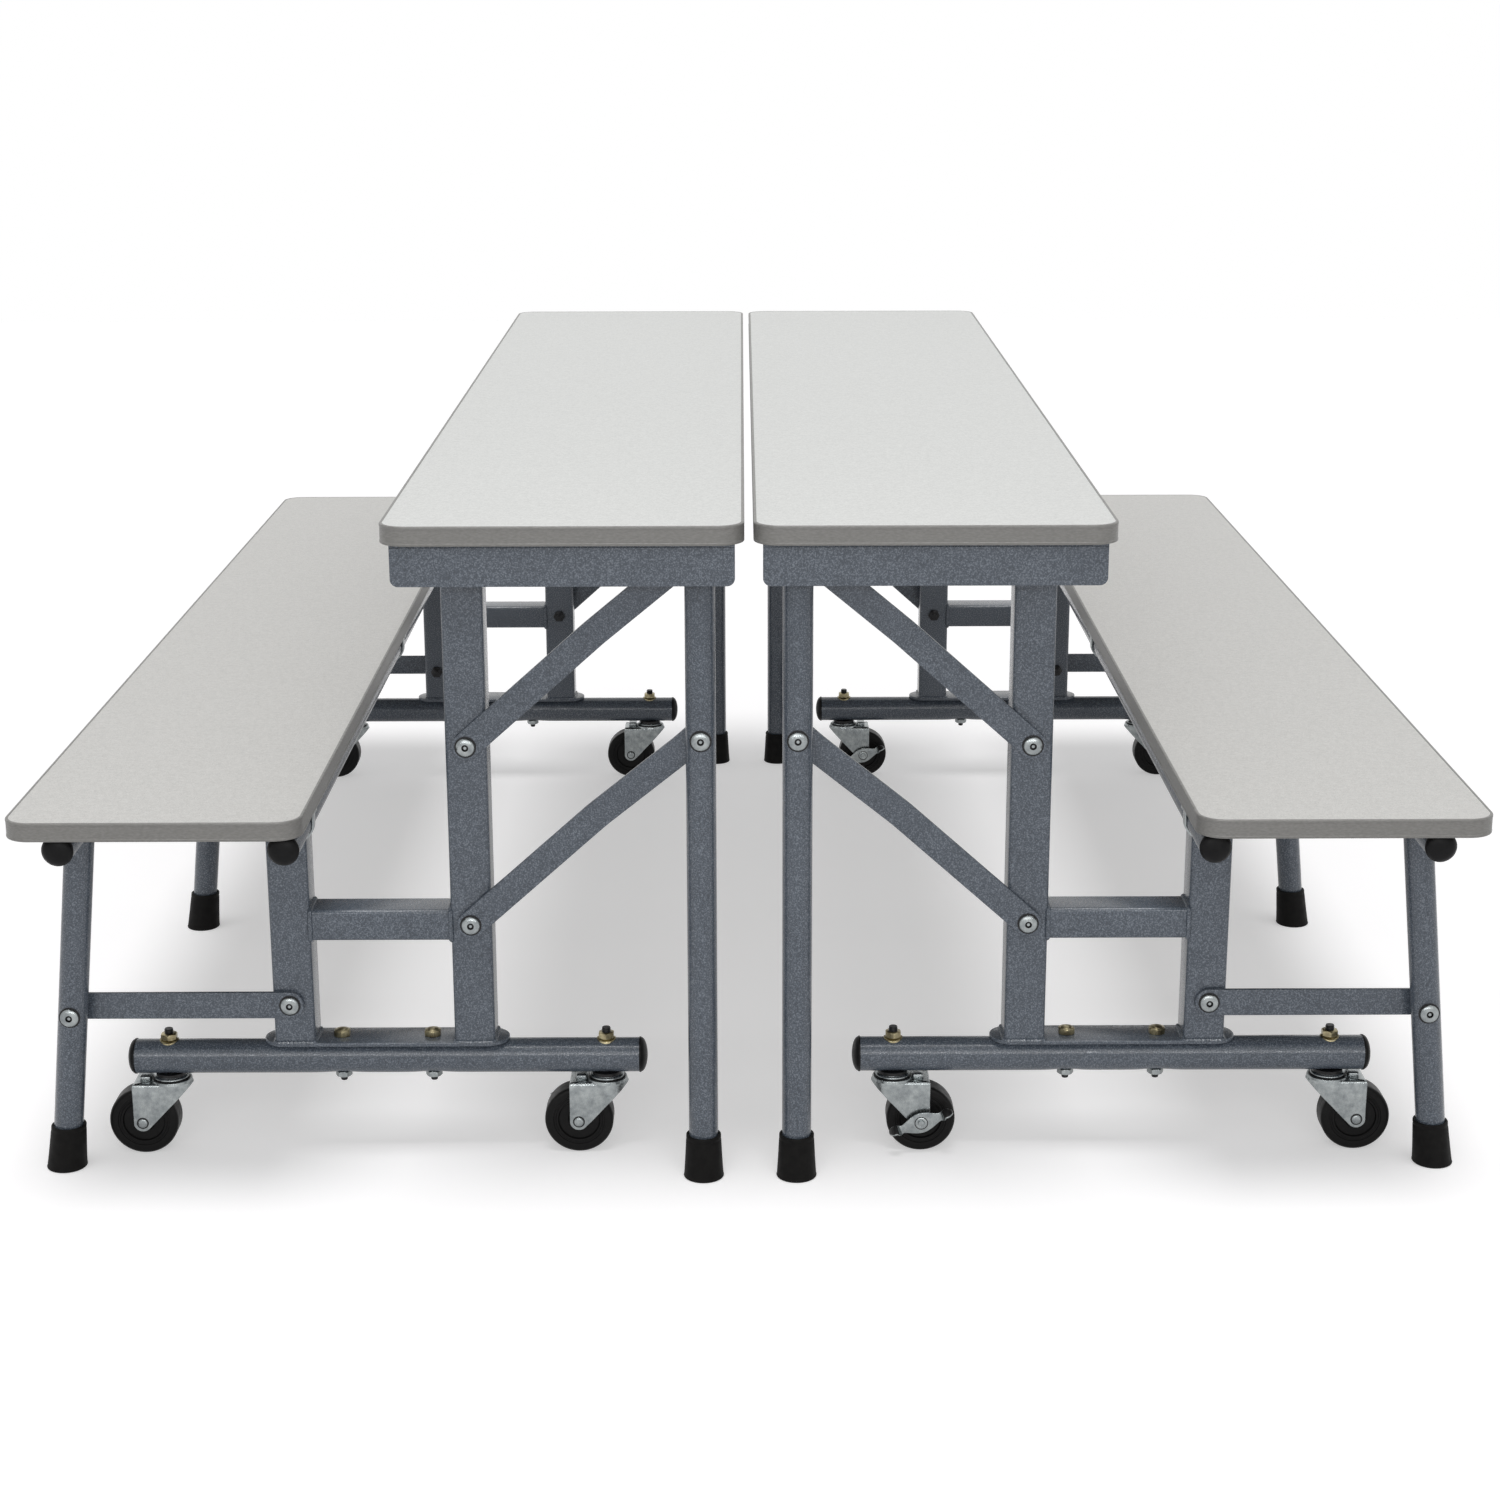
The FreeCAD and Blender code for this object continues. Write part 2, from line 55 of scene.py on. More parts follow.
mm = 0.001
joints = {joint["name"]: joint for joint in frame["joints"]}

# Pairs of axes that turn what stands upright to face one way; the left unit's inner side is +x
xAxis, yAxis, zAxis = np.eye(3)
origin = np.zeros(3)
towardFront, towardBack = (xAxis, zAxis), (zAxis, xAxis)
towardInner, towardOuter = (yAxis, zAxis), (zAxis, yAxis)
downwards = (yAxis, xAxis)


def pivot(name):
    return np.array(joints["left_" + name]["pos_m"])


def low(node):
    return np.array(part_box("left_" + node)[0])


def high(node):
    return np.array(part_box("left_" + node)[1])


def unit(vectors):
    return vectors / np.linalg.norm(vectors, axis=-1, keepdims=True)


# Coordinates that broadcast together become one array of points
def gridOf(x, y, z):
    return np.stack(np.broadcast_arrays(x, y, z), axis=-1)


def atHeight(flat, level):
    return np.column_stack([flat, np.full(len(flat), level)])


# A shape is its points (n, 3), its faces as lists of point numbers and one finish per face.
# On a (rings, points, 3) grid, point (i, j) joins (i, j+1), (i+1, j+1) and (i+1, j). Each ring
# runs anticlockwise seen from the side that the next ring lies on.
def loft(rings, closed=False, caps=True):
    rows, columns = rings.shape[:2]
    number = np.arange(rows * columns).reshape(rows, columns)
    ends = [number[0, ::-1].tolist(), number[-1].tolist()] if caps and not closed else []
    if closed:
        number = np.vstack([number, number[:1]])
    across = np.roll(number, -1, axis=1)
    quads = np.stack([number[:-1], across[:-1], across[1:], number[1:]], axis=-1)
    faces = quads.reshape(-1, 4).tolist() + ends
    return {"points": rings.reshape(-1, 3), "faces": faces, "finish": [0] * len(faces)}


def joined(items):
    starts = np.cumsum([0] + [len(item["points"]) for item in items])
    faces = [[start + n for n in face] for start, item in zip(starts, items) for face in item["faces"]]
    finish = [number for item in items for number in item["finish"]]
    return {"points": np.vstack([item["points"] for item in items]), "faces": faces, "finish": finish}


# The shape's own x, y and z go along u, v and u x v from the place
def placed(item, place, axes):
    u, v = axes
    return {**item, "points": np.asarray(place) + item["points"] @ np.array([u, v, np.cross(u, v)])}


def shifted(item, offset):
    return {**item, "points": item["points"] + np.asarray(offset)}


def finished(item, number):
    return {**item, "finish": [number] * len(item["faces"])}


# The rear frame mirrors the front one, so y changes sign and every face runs the other way
def bothEnds(items):
    whole = joined(items)
    faces = [face[::-1] for face in whole["faces"]]
    return joined([whole, {**whole, "points": whole["points"] * (1, -1, 1), "faces": faces}])


def angles(count):
    return np.linspace(0, 2 * np.pi, count, endpoint=False)


# Points of a circle of unit radius
def circle(count):
    return np.stack([np.cos(angles(count)), np.sin(angles(count))], axis=1)


# Points on an arc of an ellipse, angles in degrees
def ellipseArc(x, y, wide, tall, first, last, steps=5):
    angle = np.radians(np.linspace(first, last, steps + 1))
    return np.stack([x + wide * np.cos(angle), y + tall * np.sin(angle)], axis=1)


def arc(x, y, radius, first, last, steps=5):
    return ellipseArc(x, y, radius, radius, first, last, steps)


# Each corner of an anticlockwise outline becomes an arc: it leaves the edge a tangent length
# r tan(turn / 2) before the corner and turns with the outline about a centre r to its side.
def rounded(corners, radius, steps=6):
    points = np.asarray(corners, float)
    radii = np.broadcast_to(np.asarray(radius, float), len(points))[:, None]
    before = unit(points - np.roll(points, 1, axis=0))
    after = np.roll(before, -1, axis=0)
    turn = np.arctan2(before[:, 0] * after[:, 1] - before[:, 1] * after[:, 0], (before * after).sum(1))
    side = np.stack([-before[:, 1], before[:, 0]], axis=1) * np.sign(turn)[:, None]
    start = points - before * radii * np.tan(np.abs(turn) / 2)[:, None]
    angle = turn[:, None] * np.linspace(0, 1, steps + 1)
    arm = -side * radii
    x = arm[:, :1] * np.cos(angle) - arm[:, 1:] * np.sin(angle)
    y = arm[:, :1] * np.sin(angle) + arm[:, 1:] * np.cos(angle)
    return ((start + side * radii)[:, None] + np.stack([x, y], axis=-1)).reshape(-1, 2)


def rectangle(x0, x1, y0, y1, radius, steps=6):
    return rounded([(x0, y0), (x1, y0), (x1, y1), (x0, y1)], radius, steps)


# How each point of an outline moves inwards: the sum of its two edges' left normals,
# divided by 1 + the cosine between the edges, so that both edges move by one.
def inward(outline):
    ahead = unit(np.roll(outline, -1, axis=0) - outline)
    behind = np.roll(ahead, 1, axis=0)
    both = ahead + behind
    return np.stack([-both[:, 1], both[:, 0]], axis=1) / (1 + (ahead * behind).sum(1))[:, None]


# The outline at each height, moved inwards by that height's inset
def stacked(outline, insets, heights):
    flat = outline + np.asarray(insets, float)[:, None, None] * inward(outline)
    return gridOf(flat[..., 0], flat[..., 1], np.asarray(heights, float)[:, None])


# A plate with quarter-round rims: inset e (1 - sin a) at height e (1 - cos a) from each face
def slabRings(outline, bottom, top, edge, steps=3):
    angle = np.linspace(0, np.pi / 2, steps + 1)
    inset, rise = edge * (1 - np.sin(angle)), edge * (1 - np.cos(angle))
    return stacked(outline, np.concatenate([inset, inset[::-1]]),
                   np.concatenate([bottom + rise, top - rise[::-1]]))


def slab(outline, bottom, top, edge, steps=3):
    return loft(slabRings(outline, bottom, top, edge, steps))


# An open tube: up the outside, over the rim, down the inside and back
def hollowTube(outline, wall, bottom, top):
    return loft(stacked(outline, [0, 0, wall, wall], [bottom, top, top, bottom]), closed=True)


# A profile of (radius, height) pairs turned about the vertical
def turnedRings(profile, count):
    radius, height = np.asarray(profile, float).T[:, :, None]
    ring = circle(count)
    return gridOf(radius * ring[:, 0], radius * ring[:, 1], height)


def turned(profile, count=48):
    return loft(turnedRings(profile, count))


def rod(start, end, radius, edge=1.0 * mm, count=56):
    start, end = np.asarray(start, float), np.asarray(end, float)
    length = np.linalg.norm(end - start)
    along = (end - start) / length
    u = unit(np.cross(yAxis if abs(along[1]) < 0.9 else xAxis, along))
    return placed(slab(circle(count) * radius, 0, length, edge), start, (u, np.cross(along, u)))


# A rod along y through a place's x and z
def crossRod(place, y0, y1, radius, edge=1.0 * mm, count=56):
    return rod((place[0], y0, place[2]), (place[0], y1, place[2]), radius, edge, count)


weld = {"puddle": 4.5 * mm, "swell": 0.28, "sides": 8}


# A run of weld along a path: a small tube whose radius grows by a share |sin| in each puddle
def weldBead(path, axis, radius, count=160, closed=True):
    loop = np.vstack([path, path[:1]]) if closed else path
    run = np.concatenate([[0], np.cumsum(np.linalg.norm(np.diff(loop, axis=0), axis=1))])
    at = np.linspace(0, run[-1], count, endpoint=not closed)
    line = np.stack([np.interp(at, run, loop[:, i]) for i in range(3)], axis=1)
    tangent = np.roll(line, -1, axis=0) - np.roll(line, 1, axis=0) if closed else np.gradient(line, axis=0)
    tangent = unit(tangent)
    out = unit(axis - (tangent @ axis)[:, None] * tangent)
    beside = np.cross(tangent, out)
    puddles = max(1, round(run[-1] / weld["puddle"]))
    swell = radius * (1 + weld["swell"] * np.abs(np.sin(np.pi * puddles * at / run[-1])))[:, None, None]
    ring = circle(weld["sides"])
    rings = line[:, None] + swell * (ring[:, :1] * out[:, None] + ring[:, 1:] * beside[:, None])
    return loft(rings, closed=closed)


# A hexagon's reach for a half width of one: 1 / cos(angle from the nearest flat)
def hexReach(angle):
    return 1 / np.cos((angle + np.pi / 6) % (np.pi / 3) - np.pi / 6)


# A hexagon cut by a cone that rises tan(60) from each end; its levels are shares of the height
def hexagon(width, height, count=48):
    level = height * np.array([0, 0.03, 0.07, 0.13, 0.87, 0.93, 0.97, 1])[:, None]
    cone = 0.48 * width + math.sqrt(3) * np.minimum(level, height - level)
    radius = np.minimum(0.5 * width * hexReach(angles(count)), cone)
    ring = circle(count)
    return loft(gridOf(radius * ring[:, 0], radius * ring[:, 1], level))


# A threaded end: the radius falls and rises by the thread's depth once in each pitch
def threadedEnd(radius, length, pitch=1.25 * mm, depth=0.5 * mm):
    level = np.linspace(0, length, 4 * round(length / pitch) + 1)
    wave = np.abs(2 * ((level / pitch) % 1) - 1)
    taper = np.clip((level - length + pitch) / pitch, 0, 1) * depth
    return turned(np.stack([radius - depth * wave - taper, level], axis=1), 24)


def linear(code):
    value = np.array([int(code[i:i + 2], 16) for i in (1, 3, 5)]) / 255
    light = np.where(value <= 0.04045, value / 12.92, ((value + 0.055) / 1.055) ** 2.4)
    return (*light.tolist(), 1.0)


# Adds a node: a socket given as a value is linked, anything else is set. A colour ramp's stops
# are places along it, each with an sRGB colour or a grey level.
def addNode(tree, kind, inputs=None, stops=(), **settings):
    node = tree.nodes.new(kind)
    for name, value in settings.items():
        setattr(node, name, value)
    for name, value in (inputs or {}).items():
        if isinstance(value, bpy.types.NodeSocket):
            tree.links.new(value, node.inputs[name])
        else:
            node.inputs[name].default_value = value
    if stops:
        elements = node.color_ramp.elements
        while len(elements) < len(stops):
            elements.new(0.5)
        for element, (at, colour) in zip(elements, stops):
            element.position = at
            element.color = linear(colour) if isinstance(colour, str) else (colour, colour, colour, 1.0)
    return node


def startMaterial(name):
    material = bpy.data.materials.new(name)
    material.use_nodes = True
    material.node_tree.nodes.clear()
    return material, material.node_tree


# A pattern of lumps about size across, fixed to the object. A stretch scales its coordinates,
# so a direction scaled below one draws the lumps out.
def lumps(tree, size, detail=2.0, stretch=None):
    place = addNode(tree, "ShaderNodeTexCoord").outputs["Object"]
    if stretch:
        place = addNode(tree, "ShaderNodeMapping", {"Vector": place, "Scale": stretch}).outputs["Vector"]
    inputs = {"Vector": place, "Scale": 1 / size, "Detail": detail, "Roughness": 0.55}
    return addNode(tree, "ShaderNodeTexNoise", inputs).outputs["Fac"]


def finishMaterial(tree, inputs, height, depth):
    bump = addNode(tree, "ShaderNodeBump", {"Height": height, "Distance": depth, "Strength": 1.0})
    shader = addNode(tree, "ShaderNodeBsdfPrincipled", {**inputs, "Normal": bump.outputs["Normal"]})
    addNode(tree, "ShaderNodeOutputMaterial", {"Surface": shader.outputs["BSDF"]})


# A finish whose colour, gloss and relief all follow one pattern of lumps
def mottled(name, size, detail, colours, gloss, depth, stretch=None, fixed=None):
    material, tree = startMaterial(name)
    marks = lumps(tree, size, detail, stretch)
    inputs = dict(fixed or {})
    for socket, stops in (("Base Color", colours), ("Roughness", gloss)):
        if stops:
            inputs[socket] = addNode(tree, "ShaderNodeValToRGB", {"Fac": marks}, stops).outputs["Color"]
    finishMaterial(tree, inputs, marks, depth)
    return material


# Hammertone powder coat on steel: the powder draws into beads about 1.5 mm across as it
# melts, with darker valleys between them, so gloss breaks up into dots
def hammertoneCoat():
    size = {"bead": 1.5 * mm, "cloud": 45 * mm, "depth": 0.13 * mm}
    material, tree = startMaterial("hammertone_powder_coat")
    beads = lumps(tree, size["bead"], 1.0)
    cloud = lumps(tree, size["cloud"])
    dots = addNode(tree, "ShaderNodeValToRGB", {"Fac": beads},
                   [(0.34, "#3f464f"), (0.47, "#545c66"), (0.58, "#646c76"), (0.7, "#79818b")])
    wash = addNode(tree, "ShaderNodeValToRGB", {"Fac": cloud}, [(0.3, "#e4e5e7"), (0.7, "#ffffff")])
    colours = {"Factor": 0.6, "A": dots.outputs["Color"], "B": wash.outputs["Color"]}
    colour = addNode(tree, "ShaderNodeMix", colours, data_type="RGBA", blend_type="MULTIPLY")
    gloss = addNode(tree, "ShaderNodeValToRGB", {"Fac": beads}, [(0.35, 0.28), (0.65, 0.14)])
    inputs = {"Base Color": colour.outputs["Result"], "Roughness": gloss.outputs["Color"]}
    finishMaterial(tree, inputs, beads, size["depth"])
    return material


# High-pressure laminate: a printed grain of pale specks under melamine pressed against a
# suede plate, so it is even, matt and faintly pebbled
def suedeLaminate(name, dark, middle, pale):
    size = {"speck": 1.6 * mm, "mottle": 5 * mm, "pebble": 1.4 * mm, "depth": 0.008 * mm}
    material, tree = startMaterial(name)
    specks = lumps(tree, size["speck"], 3.0)
    mottle = lumps(tree, size["mottle"])
    share = addNode(tree, "ShaderNodeMath", {0: specks, 1: 0.7}, operation="MULTIPLY")
    both = addNode(tree, "ShaderNodeMath", {0: mottle, 1: 0.3, 2: share.outputs["Value"]},
                   operation="MULTIPLY_ADD")
    colour = addNode(tree, "ShaderNodeValToRGB", {"Fac": both.outputs["Value"]},
                     [(0.36, dark), (0.5, middle), (0.64, pale)])
    pebble = lumps(tree, size["pebble"])
    gloss = addNode(tree, "ShaderNodeValToRGB", {"Fac": pebble}, [(0.3, 0.56), (0.7, 0.48)])
    inputs = {"Base Color": colour.outputs["Color"], "Roughness": gloss.outputs["Color"],
              "Specular IOR Level": 0.35}
    finishMaterial(tree, inputs, pebble, size["depth"])
    return material


# Moulded styrene-butadiene rubber: near black, matt, with a dusty bloom where it is handled
def mouldedRubber():
    size = {"bloom": 9 * mm, "skin": 1.2 * mm, "depth": 0.05 * mm}
    material, tree = startMaterial("moulded_black_rubber")
    bloom = lumps(tree, size["bloom"], 4.0)
    colour = addNode(tree, "ShaderNodeValToRGB", {"Fac": bloom}, [(0.35, "#0a0909"), (0.7, "#11100f")])
    gloss = addNode(tree, "ShaderNodeValToRGB", {"Fac": bloom}, [(0.3, 0.66), (0.7, 0.54)])
    inputs = {"Base Color": colour.outputs["Color"], "Roughness": gloss.outputs["Color"],
              "Specular IOR Level": 0.12}
    finishMaterial(tree, inputs, lumps(tree, size["skin"]), size["depth"])
    return material


# Zinc plate on stamped steel: bright, clouded where the bath ran, with marks of the rolling
def zincPlate(name, dull, bright, smooth):
    size = {"cloud": 8 * mm, "rolling": 1.0 * mm, "depth": 0.02 * mm}
    material, tree = startMaterial(name)
    cloud = lumps(tree, size["cloud"], 4.0)
    rolling = lumps(tree, size["rolling"], 3.0, (1.0, 1.0, 0.15))
    colour = addNode(tree, "ShaderNodeValToRGB", {"Fac": cloud}, [(0.3, dull), (0.7, bright)])
    gloss = addNode(tree, "ShaderNodeValToRGB", {"Fac": rolling}, [(0.3, smooth + 0.16), (0.7, smooth)])
    inputs = {"Base Color": colour.outputs["Color"], "Roughness": gloss.outputs["Color"], "Metallic": 1.0}
    finishMaterial(tree, inputs, rolling, size["depth"])
    return material


coat = hammertoneCoat()
tableLaminate = suedeLaminate("pale_grey_suede_laminate", "#cfd0ce", "#d9dad8", "#e2e3e1")
seatLaminate = suedeLaminate("warm_grey_suede_laminate", "#bdbcb9", "#cac9c6", "#d5d4d1")
rubber = mouldedRubber()
zinc = zincPlate("bright_zinc_plate", "#7f8486", "#a3a8a8", 0.2)
yellowZinc = zincPlate("yellow_zinc_plate", "#6f6650", "#b8ae8c", 0.24)

# Phenolic backer sheet: brown kraft paper soaked in resin, sanded flat and faintly fibrous
backer = mottled("phenolic_backer_sheet", 2.0 * mm, 4.0, [(0.3, "#6d6459"), (0.7, "#857b6e")], None,
                 0.04 * mm, stretch=(1.0, 0.12, 1.0), fixed={"Roughness": 0.62})

# Extruded vinyl T-moulding: pigment right through, a satin skin with faint die lines
vinyl = mottled("extruded_vinyl_moulding", 2.2 * mm, 3.0,
                [(0.32, "#747370"), (0.5, "#7b7a77"), (0.68, "#82817e")], [(0.3, 0.46), (0.7, 0.36)],
                0.03 * mm, stretch=(0.5, 0.5, 1.6))

# Injection moulded polyethylene: black, smooth and waxy
polyethylene = mottled("moulded_black_polyethylene", 6 * mm, 3.0, [(0.3, "#0b0b0c"), (0.7, "#121213")],
                       [(0.3, 0.46), (0.7, 0.36)], 0.03 * mm, fixed={"Specular IOR Level": 0.14})

# Hard rubber caster wheels, moulded in one: satin black, scuffed a little paler
tread = mottled("hard_caster_rubber", 5 * mm, 5.0, [(0.4, "#080808"), (0.75, "#111010")],
                [(0.3, 0.5), (0.7, 0.34)], 0.04 * mm, fixed={"Specular IOR Level": 0.16})

# Black oxide on steel nuts: dark, a little oily. The same dark colour is painted shade in the screws'
# recesses and in the rings round heads and rivets, and a painted dark reflection on the brake treads' tops
oxideAndShade = mottled("black_oxide_steel", 3 * mm, 4.0, [(0.3, "#1b1b1c"), (0.7, "#2a2a2b")],
                [(0.3, 0.45), (0.7, 0.3)], 0.02 * mm, fixed={"Metallic": 0.6})
print("materials ready")

mesh = {"seam": 0.002 * mm, "sharp": 34}


# Points that fall together at poles and middle lines become one
def closeSeams(data):
    work = bmesh.new()
    work.from_mesh(data)
    bmesh.ops.remove_doubles(work, verts=work.verts, dist=mesh["seam"])
    work.to_mesh(data)
    work.free()


def addObject(name, data):
    thing = bpy.data.objects.new(name, data)
    bpy.context.scene.collection.objects.link(thing)
    return thing


# Makes the left piece and its half-turned right copy, which ride on that unit's body
def addPair(name, item, body, node, finishes):
    for side, sign in (("left", 1), ("right", -1)):
        data = bpy.data.meshes.new(f"{side}_{name}")
        data.from_pydata((item["points"] * (sign, sign, 1)).tolist(), [], item["faces"])
        for material in finishes:
            data.materials.append(material)
        data.polygons.foreach_set("material_index", np.array(item["finish"], np.int32))
        closeSeams(data)
        data.shade_smooth()
        data.set_sharp_from_angle(angle=math.radians(mesh["sharp"]))
        piece = addObject(f"{side}_{name}", data)
        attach(piece, f"{side}_{body}")
        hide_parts(f"{side}_{node}")


# Boards: a laminated core inside a moulding that is a flat band between two rolled lips
moulding = {"thick": 3.0 * mm, "corner": 28 * mm, "lip": 1.3 * mm, "lipBand": 1.4 * mm,
            "dish": 0.3 * mm, "turns": 14}
panel = {"rim": 0.35 * mm, "under": 0.12 * mm, "backer": 0.9 * mm}


def boardOutline(node, corner):
    (x0, y0, _), (x1, y1, _) = low(node), high(node)
    return rectangle(x0, x1, y0, y1, corner, moulding["turns"])


def edgeMoulding(node):
    bottom = low(node)[2]
    tall = high(node)[2] - bottom
    lip, dish, band = moulding["lip"], moulding["dish"], moulding["lip"] + moulding["lipBand"]
    section = np.vstack([arc(lip, lip, lip, 270, 180),
                         [(0, band), (dish, band + dish), (dish, tall - band - dish), (0, tall - band)],
                         arc(lip, tall - lip, lip, 180, 90),
                         [(moulding["thick"], tall), (moulding["thick"], 0)]])
    outline = boardOutline(node, moulding["corner"])
    return loft(stacked(outline, section[:, 0], bottom + section[:, 1]), closed=True)


def laminatedPanel(node):
    bottom, top = low(node)[2], high(node)[2]
    outline = boardOutline(node, moulding["corner"] - moulding["thick"])
    face = slab(outline, bottom + panel["backer"], top - panel["under"], panel["rim"])
    back = slab(outline, bottom, bottom + panel["backer"], panel["rim"])
    return joined([face, finished(back, 1)])


addPair("table_top_panel", laminatedPanel("table_board"), "table_top", "table_board",
        [tableLaminate, backer])
addPair("table_edge_moulding", edgeMoulding("table_edging"), "table_top", "table_edging",
        [vinyl])
addPair("seat_panel", laminatedPanel("seat_board"), "seat", "seat_board",
        [seatLaminate, backer])
addPair("seat_edge_moulding", edgeMoulding("seat_edging"), "seat", "seat_edging",
        [vinyl])
print("boards made")

# Welded end frames: square posts and a cross tube on a round-ended foot plate
welded = {"size": 44.5 * mm, "wall": 2.0 * mm, "corner": 4.5 * mm, "crossTop": 287 * mm,
          "crossHeight": 35 * mm, "cope": 8 * mm, "bead": 2.3 * mm}
footPlateSize = {"thick": 4.5 * mm, "length": 270 * mm, "width": 48 * mm, "edge": 1.1 * mm, "round": 0.98}
lid = {"inset": 1 * mm, "under": 3 * mm, "over": 0.3 * mm, "edge": 0.4 * mm, "weldFrom": 208,
       "weldTo": 282, "bead": 1.84 * mm}
railRadius = (high("bench_hinge_rail")[0] - low("bench_hinge_rail")[0]) / 2
baseRadius = (high("base_tubes")[2] - low("base_tubes")[2]) / 2
baseMiddle, _, baseHeight = (high("base_tubes") + low("base_tubes")) / 2
baseEnds = low("base_tubes")[0], high("base_tubes")[0]
railEnds = low("bench_hinge_rail")[1], high("bench_hinge_rail")[1]
frameY = pivot("front_outer_swivel")[1]
postHalf = welded["size"] / 2
postFace, postBack = frameY - postHalf, frameY + postHalf
baseTop, baseBottom = baseHeight + baseRadius, baseHeight - baseRadius
plateTop = baseTop + footPlateSize["thick"]
tableHinge, seatHinge = pivot("table_fold"), pivot("seat_fold")
copeTop = seatHinge[2] - welded["cope"]
tablePostX = pivot("upper_brace_turn")[0]
benchPostX = 2 * baseMiddle - tablePostX


def post(x, top):
    outline = rectangle(x - postHalf, x + postHalf, postFace, postBack, welded["corner"])
    return [hollowTube(outline, welded["wall"], plateTop, top),
            weldBead(atHeight(outline, plateTop), zAxis, welded["bead"])]


def crossTube():
    x0, x1 = benchPostX + postHalf, tablePostX - postHalf
    top = welded["crossTop"]
    outline = rectangle(postFace, postBack, top - welded["crossHeight"], top, welded["corner"])
    ends = [weldBead(np.insert(outline, 0, x, axis=1), xAxis, welded["bead"]) for x in (x0, x1)]
    return [placed(hollowTube(outline, welded["wall"], x0, x1), origin, towardInner)] + ends


def footPlate():
    half, wide = footPlateSize["length"] / 2, footPlateSize["width"] / 2
    outline = rectangle(baseMiddle - half, baseMiddle + half, frameY - wide, frameY + wide,
                        wide * footPlateSize["round"], 12)
    return slab(outline, baseTop, plateTop, footPlateSize["edge"])


# The post's top is closed by a plate, and the hinge rail, let into it, is welded on both faces
def railSeat():
    reach = postHalf - lid["inset"]
    outline = rectangle(benchPostX - reach, benchPostX + reach, frameY - reach, frameY + reach,
                        welded["corner"])
    seats = [slab(outline, copeTop - lid["under"], copeTop - lid["over"], lid["edge"])]
    around = arc(seatHinge[0], seatHinge[2], railRadius, lid["weldFrom"], lid["weldTo"], 23)
    return seats + [weldBead(np.insert(around, 1, y, axis=1), yAxis, lid["bead"], 40, closed=False)
                    for y in (postFace, postBack)]


endFrame = [footPlate()] + post(tablePostX, high("end_frames")[2]) + crossTube()
endFrame += post(benchPostX, copeTop) + railSeat()
addPair("welded_end_frames", bothEnds(endFrame), "base", "end_frames", [coat])

# The base tube is drawn in a little where the plate bolts pull it up to the foot plate:
# its underside rises by the crush depth times a bell curve round each bolt.
baseTube = {"crush": 1.5 * mm, "spread": 17 * mm, "boltReach": 50 * mm, "stations": 140, "sides": 56}
boltPlaces = [baseMiddle - baseTube["boltReach"], baseMiddle + baseTube["boltReach"]]


def crushedTube():
    along = np.linspace(*baseEnds, baseTube["stations"])
    bell = sum(np.exp(-((along - x) / baseTube["spread"]) ** 2) for x in boltPlaces)
    ring = circle(baseTube["sides"]) * baseRadius
    under = np.clip(-ring[:, 1], 0, None) / baseRadius
    height = ring[:, 1] + baseTube["crush"] * bell[:, None] * under
    return loft(gridOf(along[:, None], frameY + ring[:, 0], baseHeight + height))


addPair("base_tube_pair", bothEnds([crushedTube()]), "base", "base_tubes", [coat])
addPair("hinge_rail_tube", crossRod(seatHinge, *railEnds, railRadius), "base", "bench_hinge_rail",
        [coat])
print("end frames made")

# Caps in the tube ends: a thin flange, a hair wider than the tube, and a dome of an ellipse's arc
cap = {"flange": 1.5 * mm, "over": 0.7 * mm, "rim": 0.5 * mm, "step": 0.6 * mm, "length": 9 * mm}


def endCap(radius):
    wide, flange, rim = radius + cap["over"], cap["flange"], cap["rim"]
    dome = ellipseArc(0, flange, wide - cap["step"], cap["length"] - flange, 4, 86, 9)
    return turned(np.vstack([[(radius * 0.9, 0), (wide, 0)], arc(wide - rim, flange, rim, 0, 80, 3), dome]))


def frameCaps():
    return bothEnds([placed(endCap(baseRadius), (baseEnds[1], frameY, baseHeight), towardInner),
                     placed(endCap(baseRadius), (baseEnds[0], frameY, baseHeight), towardOuter),
                     placed(endCap(railRadius), (seatHinge[0], railEnds[0], seatHinge[2]), towardFront)])


addPair("frame_end_caps", frameCaps(), "base", "frame_plugs", [polyethylene])

bar = {"width": 30 * mm, "thick": 5 * mm, "edge": 0.9 * mm, "bendFrom": 150 * mm, "bendTo": 24 * mm,
       "bendRound": 7 * mm, "slopeStep": 0.05 * mm}


# A straight ramp from 0 to 1 averaged over a span each way: the difference of the ramp's area
# (quadratic on the ramp, linear past it) at the two ends of the span, over its length
def easedRamp(x, start, end, span):
    ends = np.stack([x + span, x - span])
    part = np.clip((ends - start) / (end - start), 0, 1)
    area = (end - start) * part ** 2 / 2 + np.clip(ends - end, 0, None)
    return (area[0] - area[1]) / (2 * span)


# A round-ended bar's outline with its stations: along one edge, round half a circle, back along
# the other edge and round half a circle. A bent bar has many stations where it bends.
def barOutline(reach, bent):
    half, past = bar["width"] / 2, 10 * mm
    along = np.linspace(0, reach, 12)
    if bent:
        bend = reach - np.linspace(bar["bendTo"] - past, bar["bendFrom"] + past, 50)
        along = np.unique(np.concatenate([along, bend]))
    lower = np.stack([along, np.full(len(along), -half)], axis=1)
    return np.vstack([lower, arc(reach, 0, half, -90, 90, 20)[1:-1], lower[::-1] * (1, -1),
                      arc(0, 0, half, 90, 270, 20)[1:-1]])


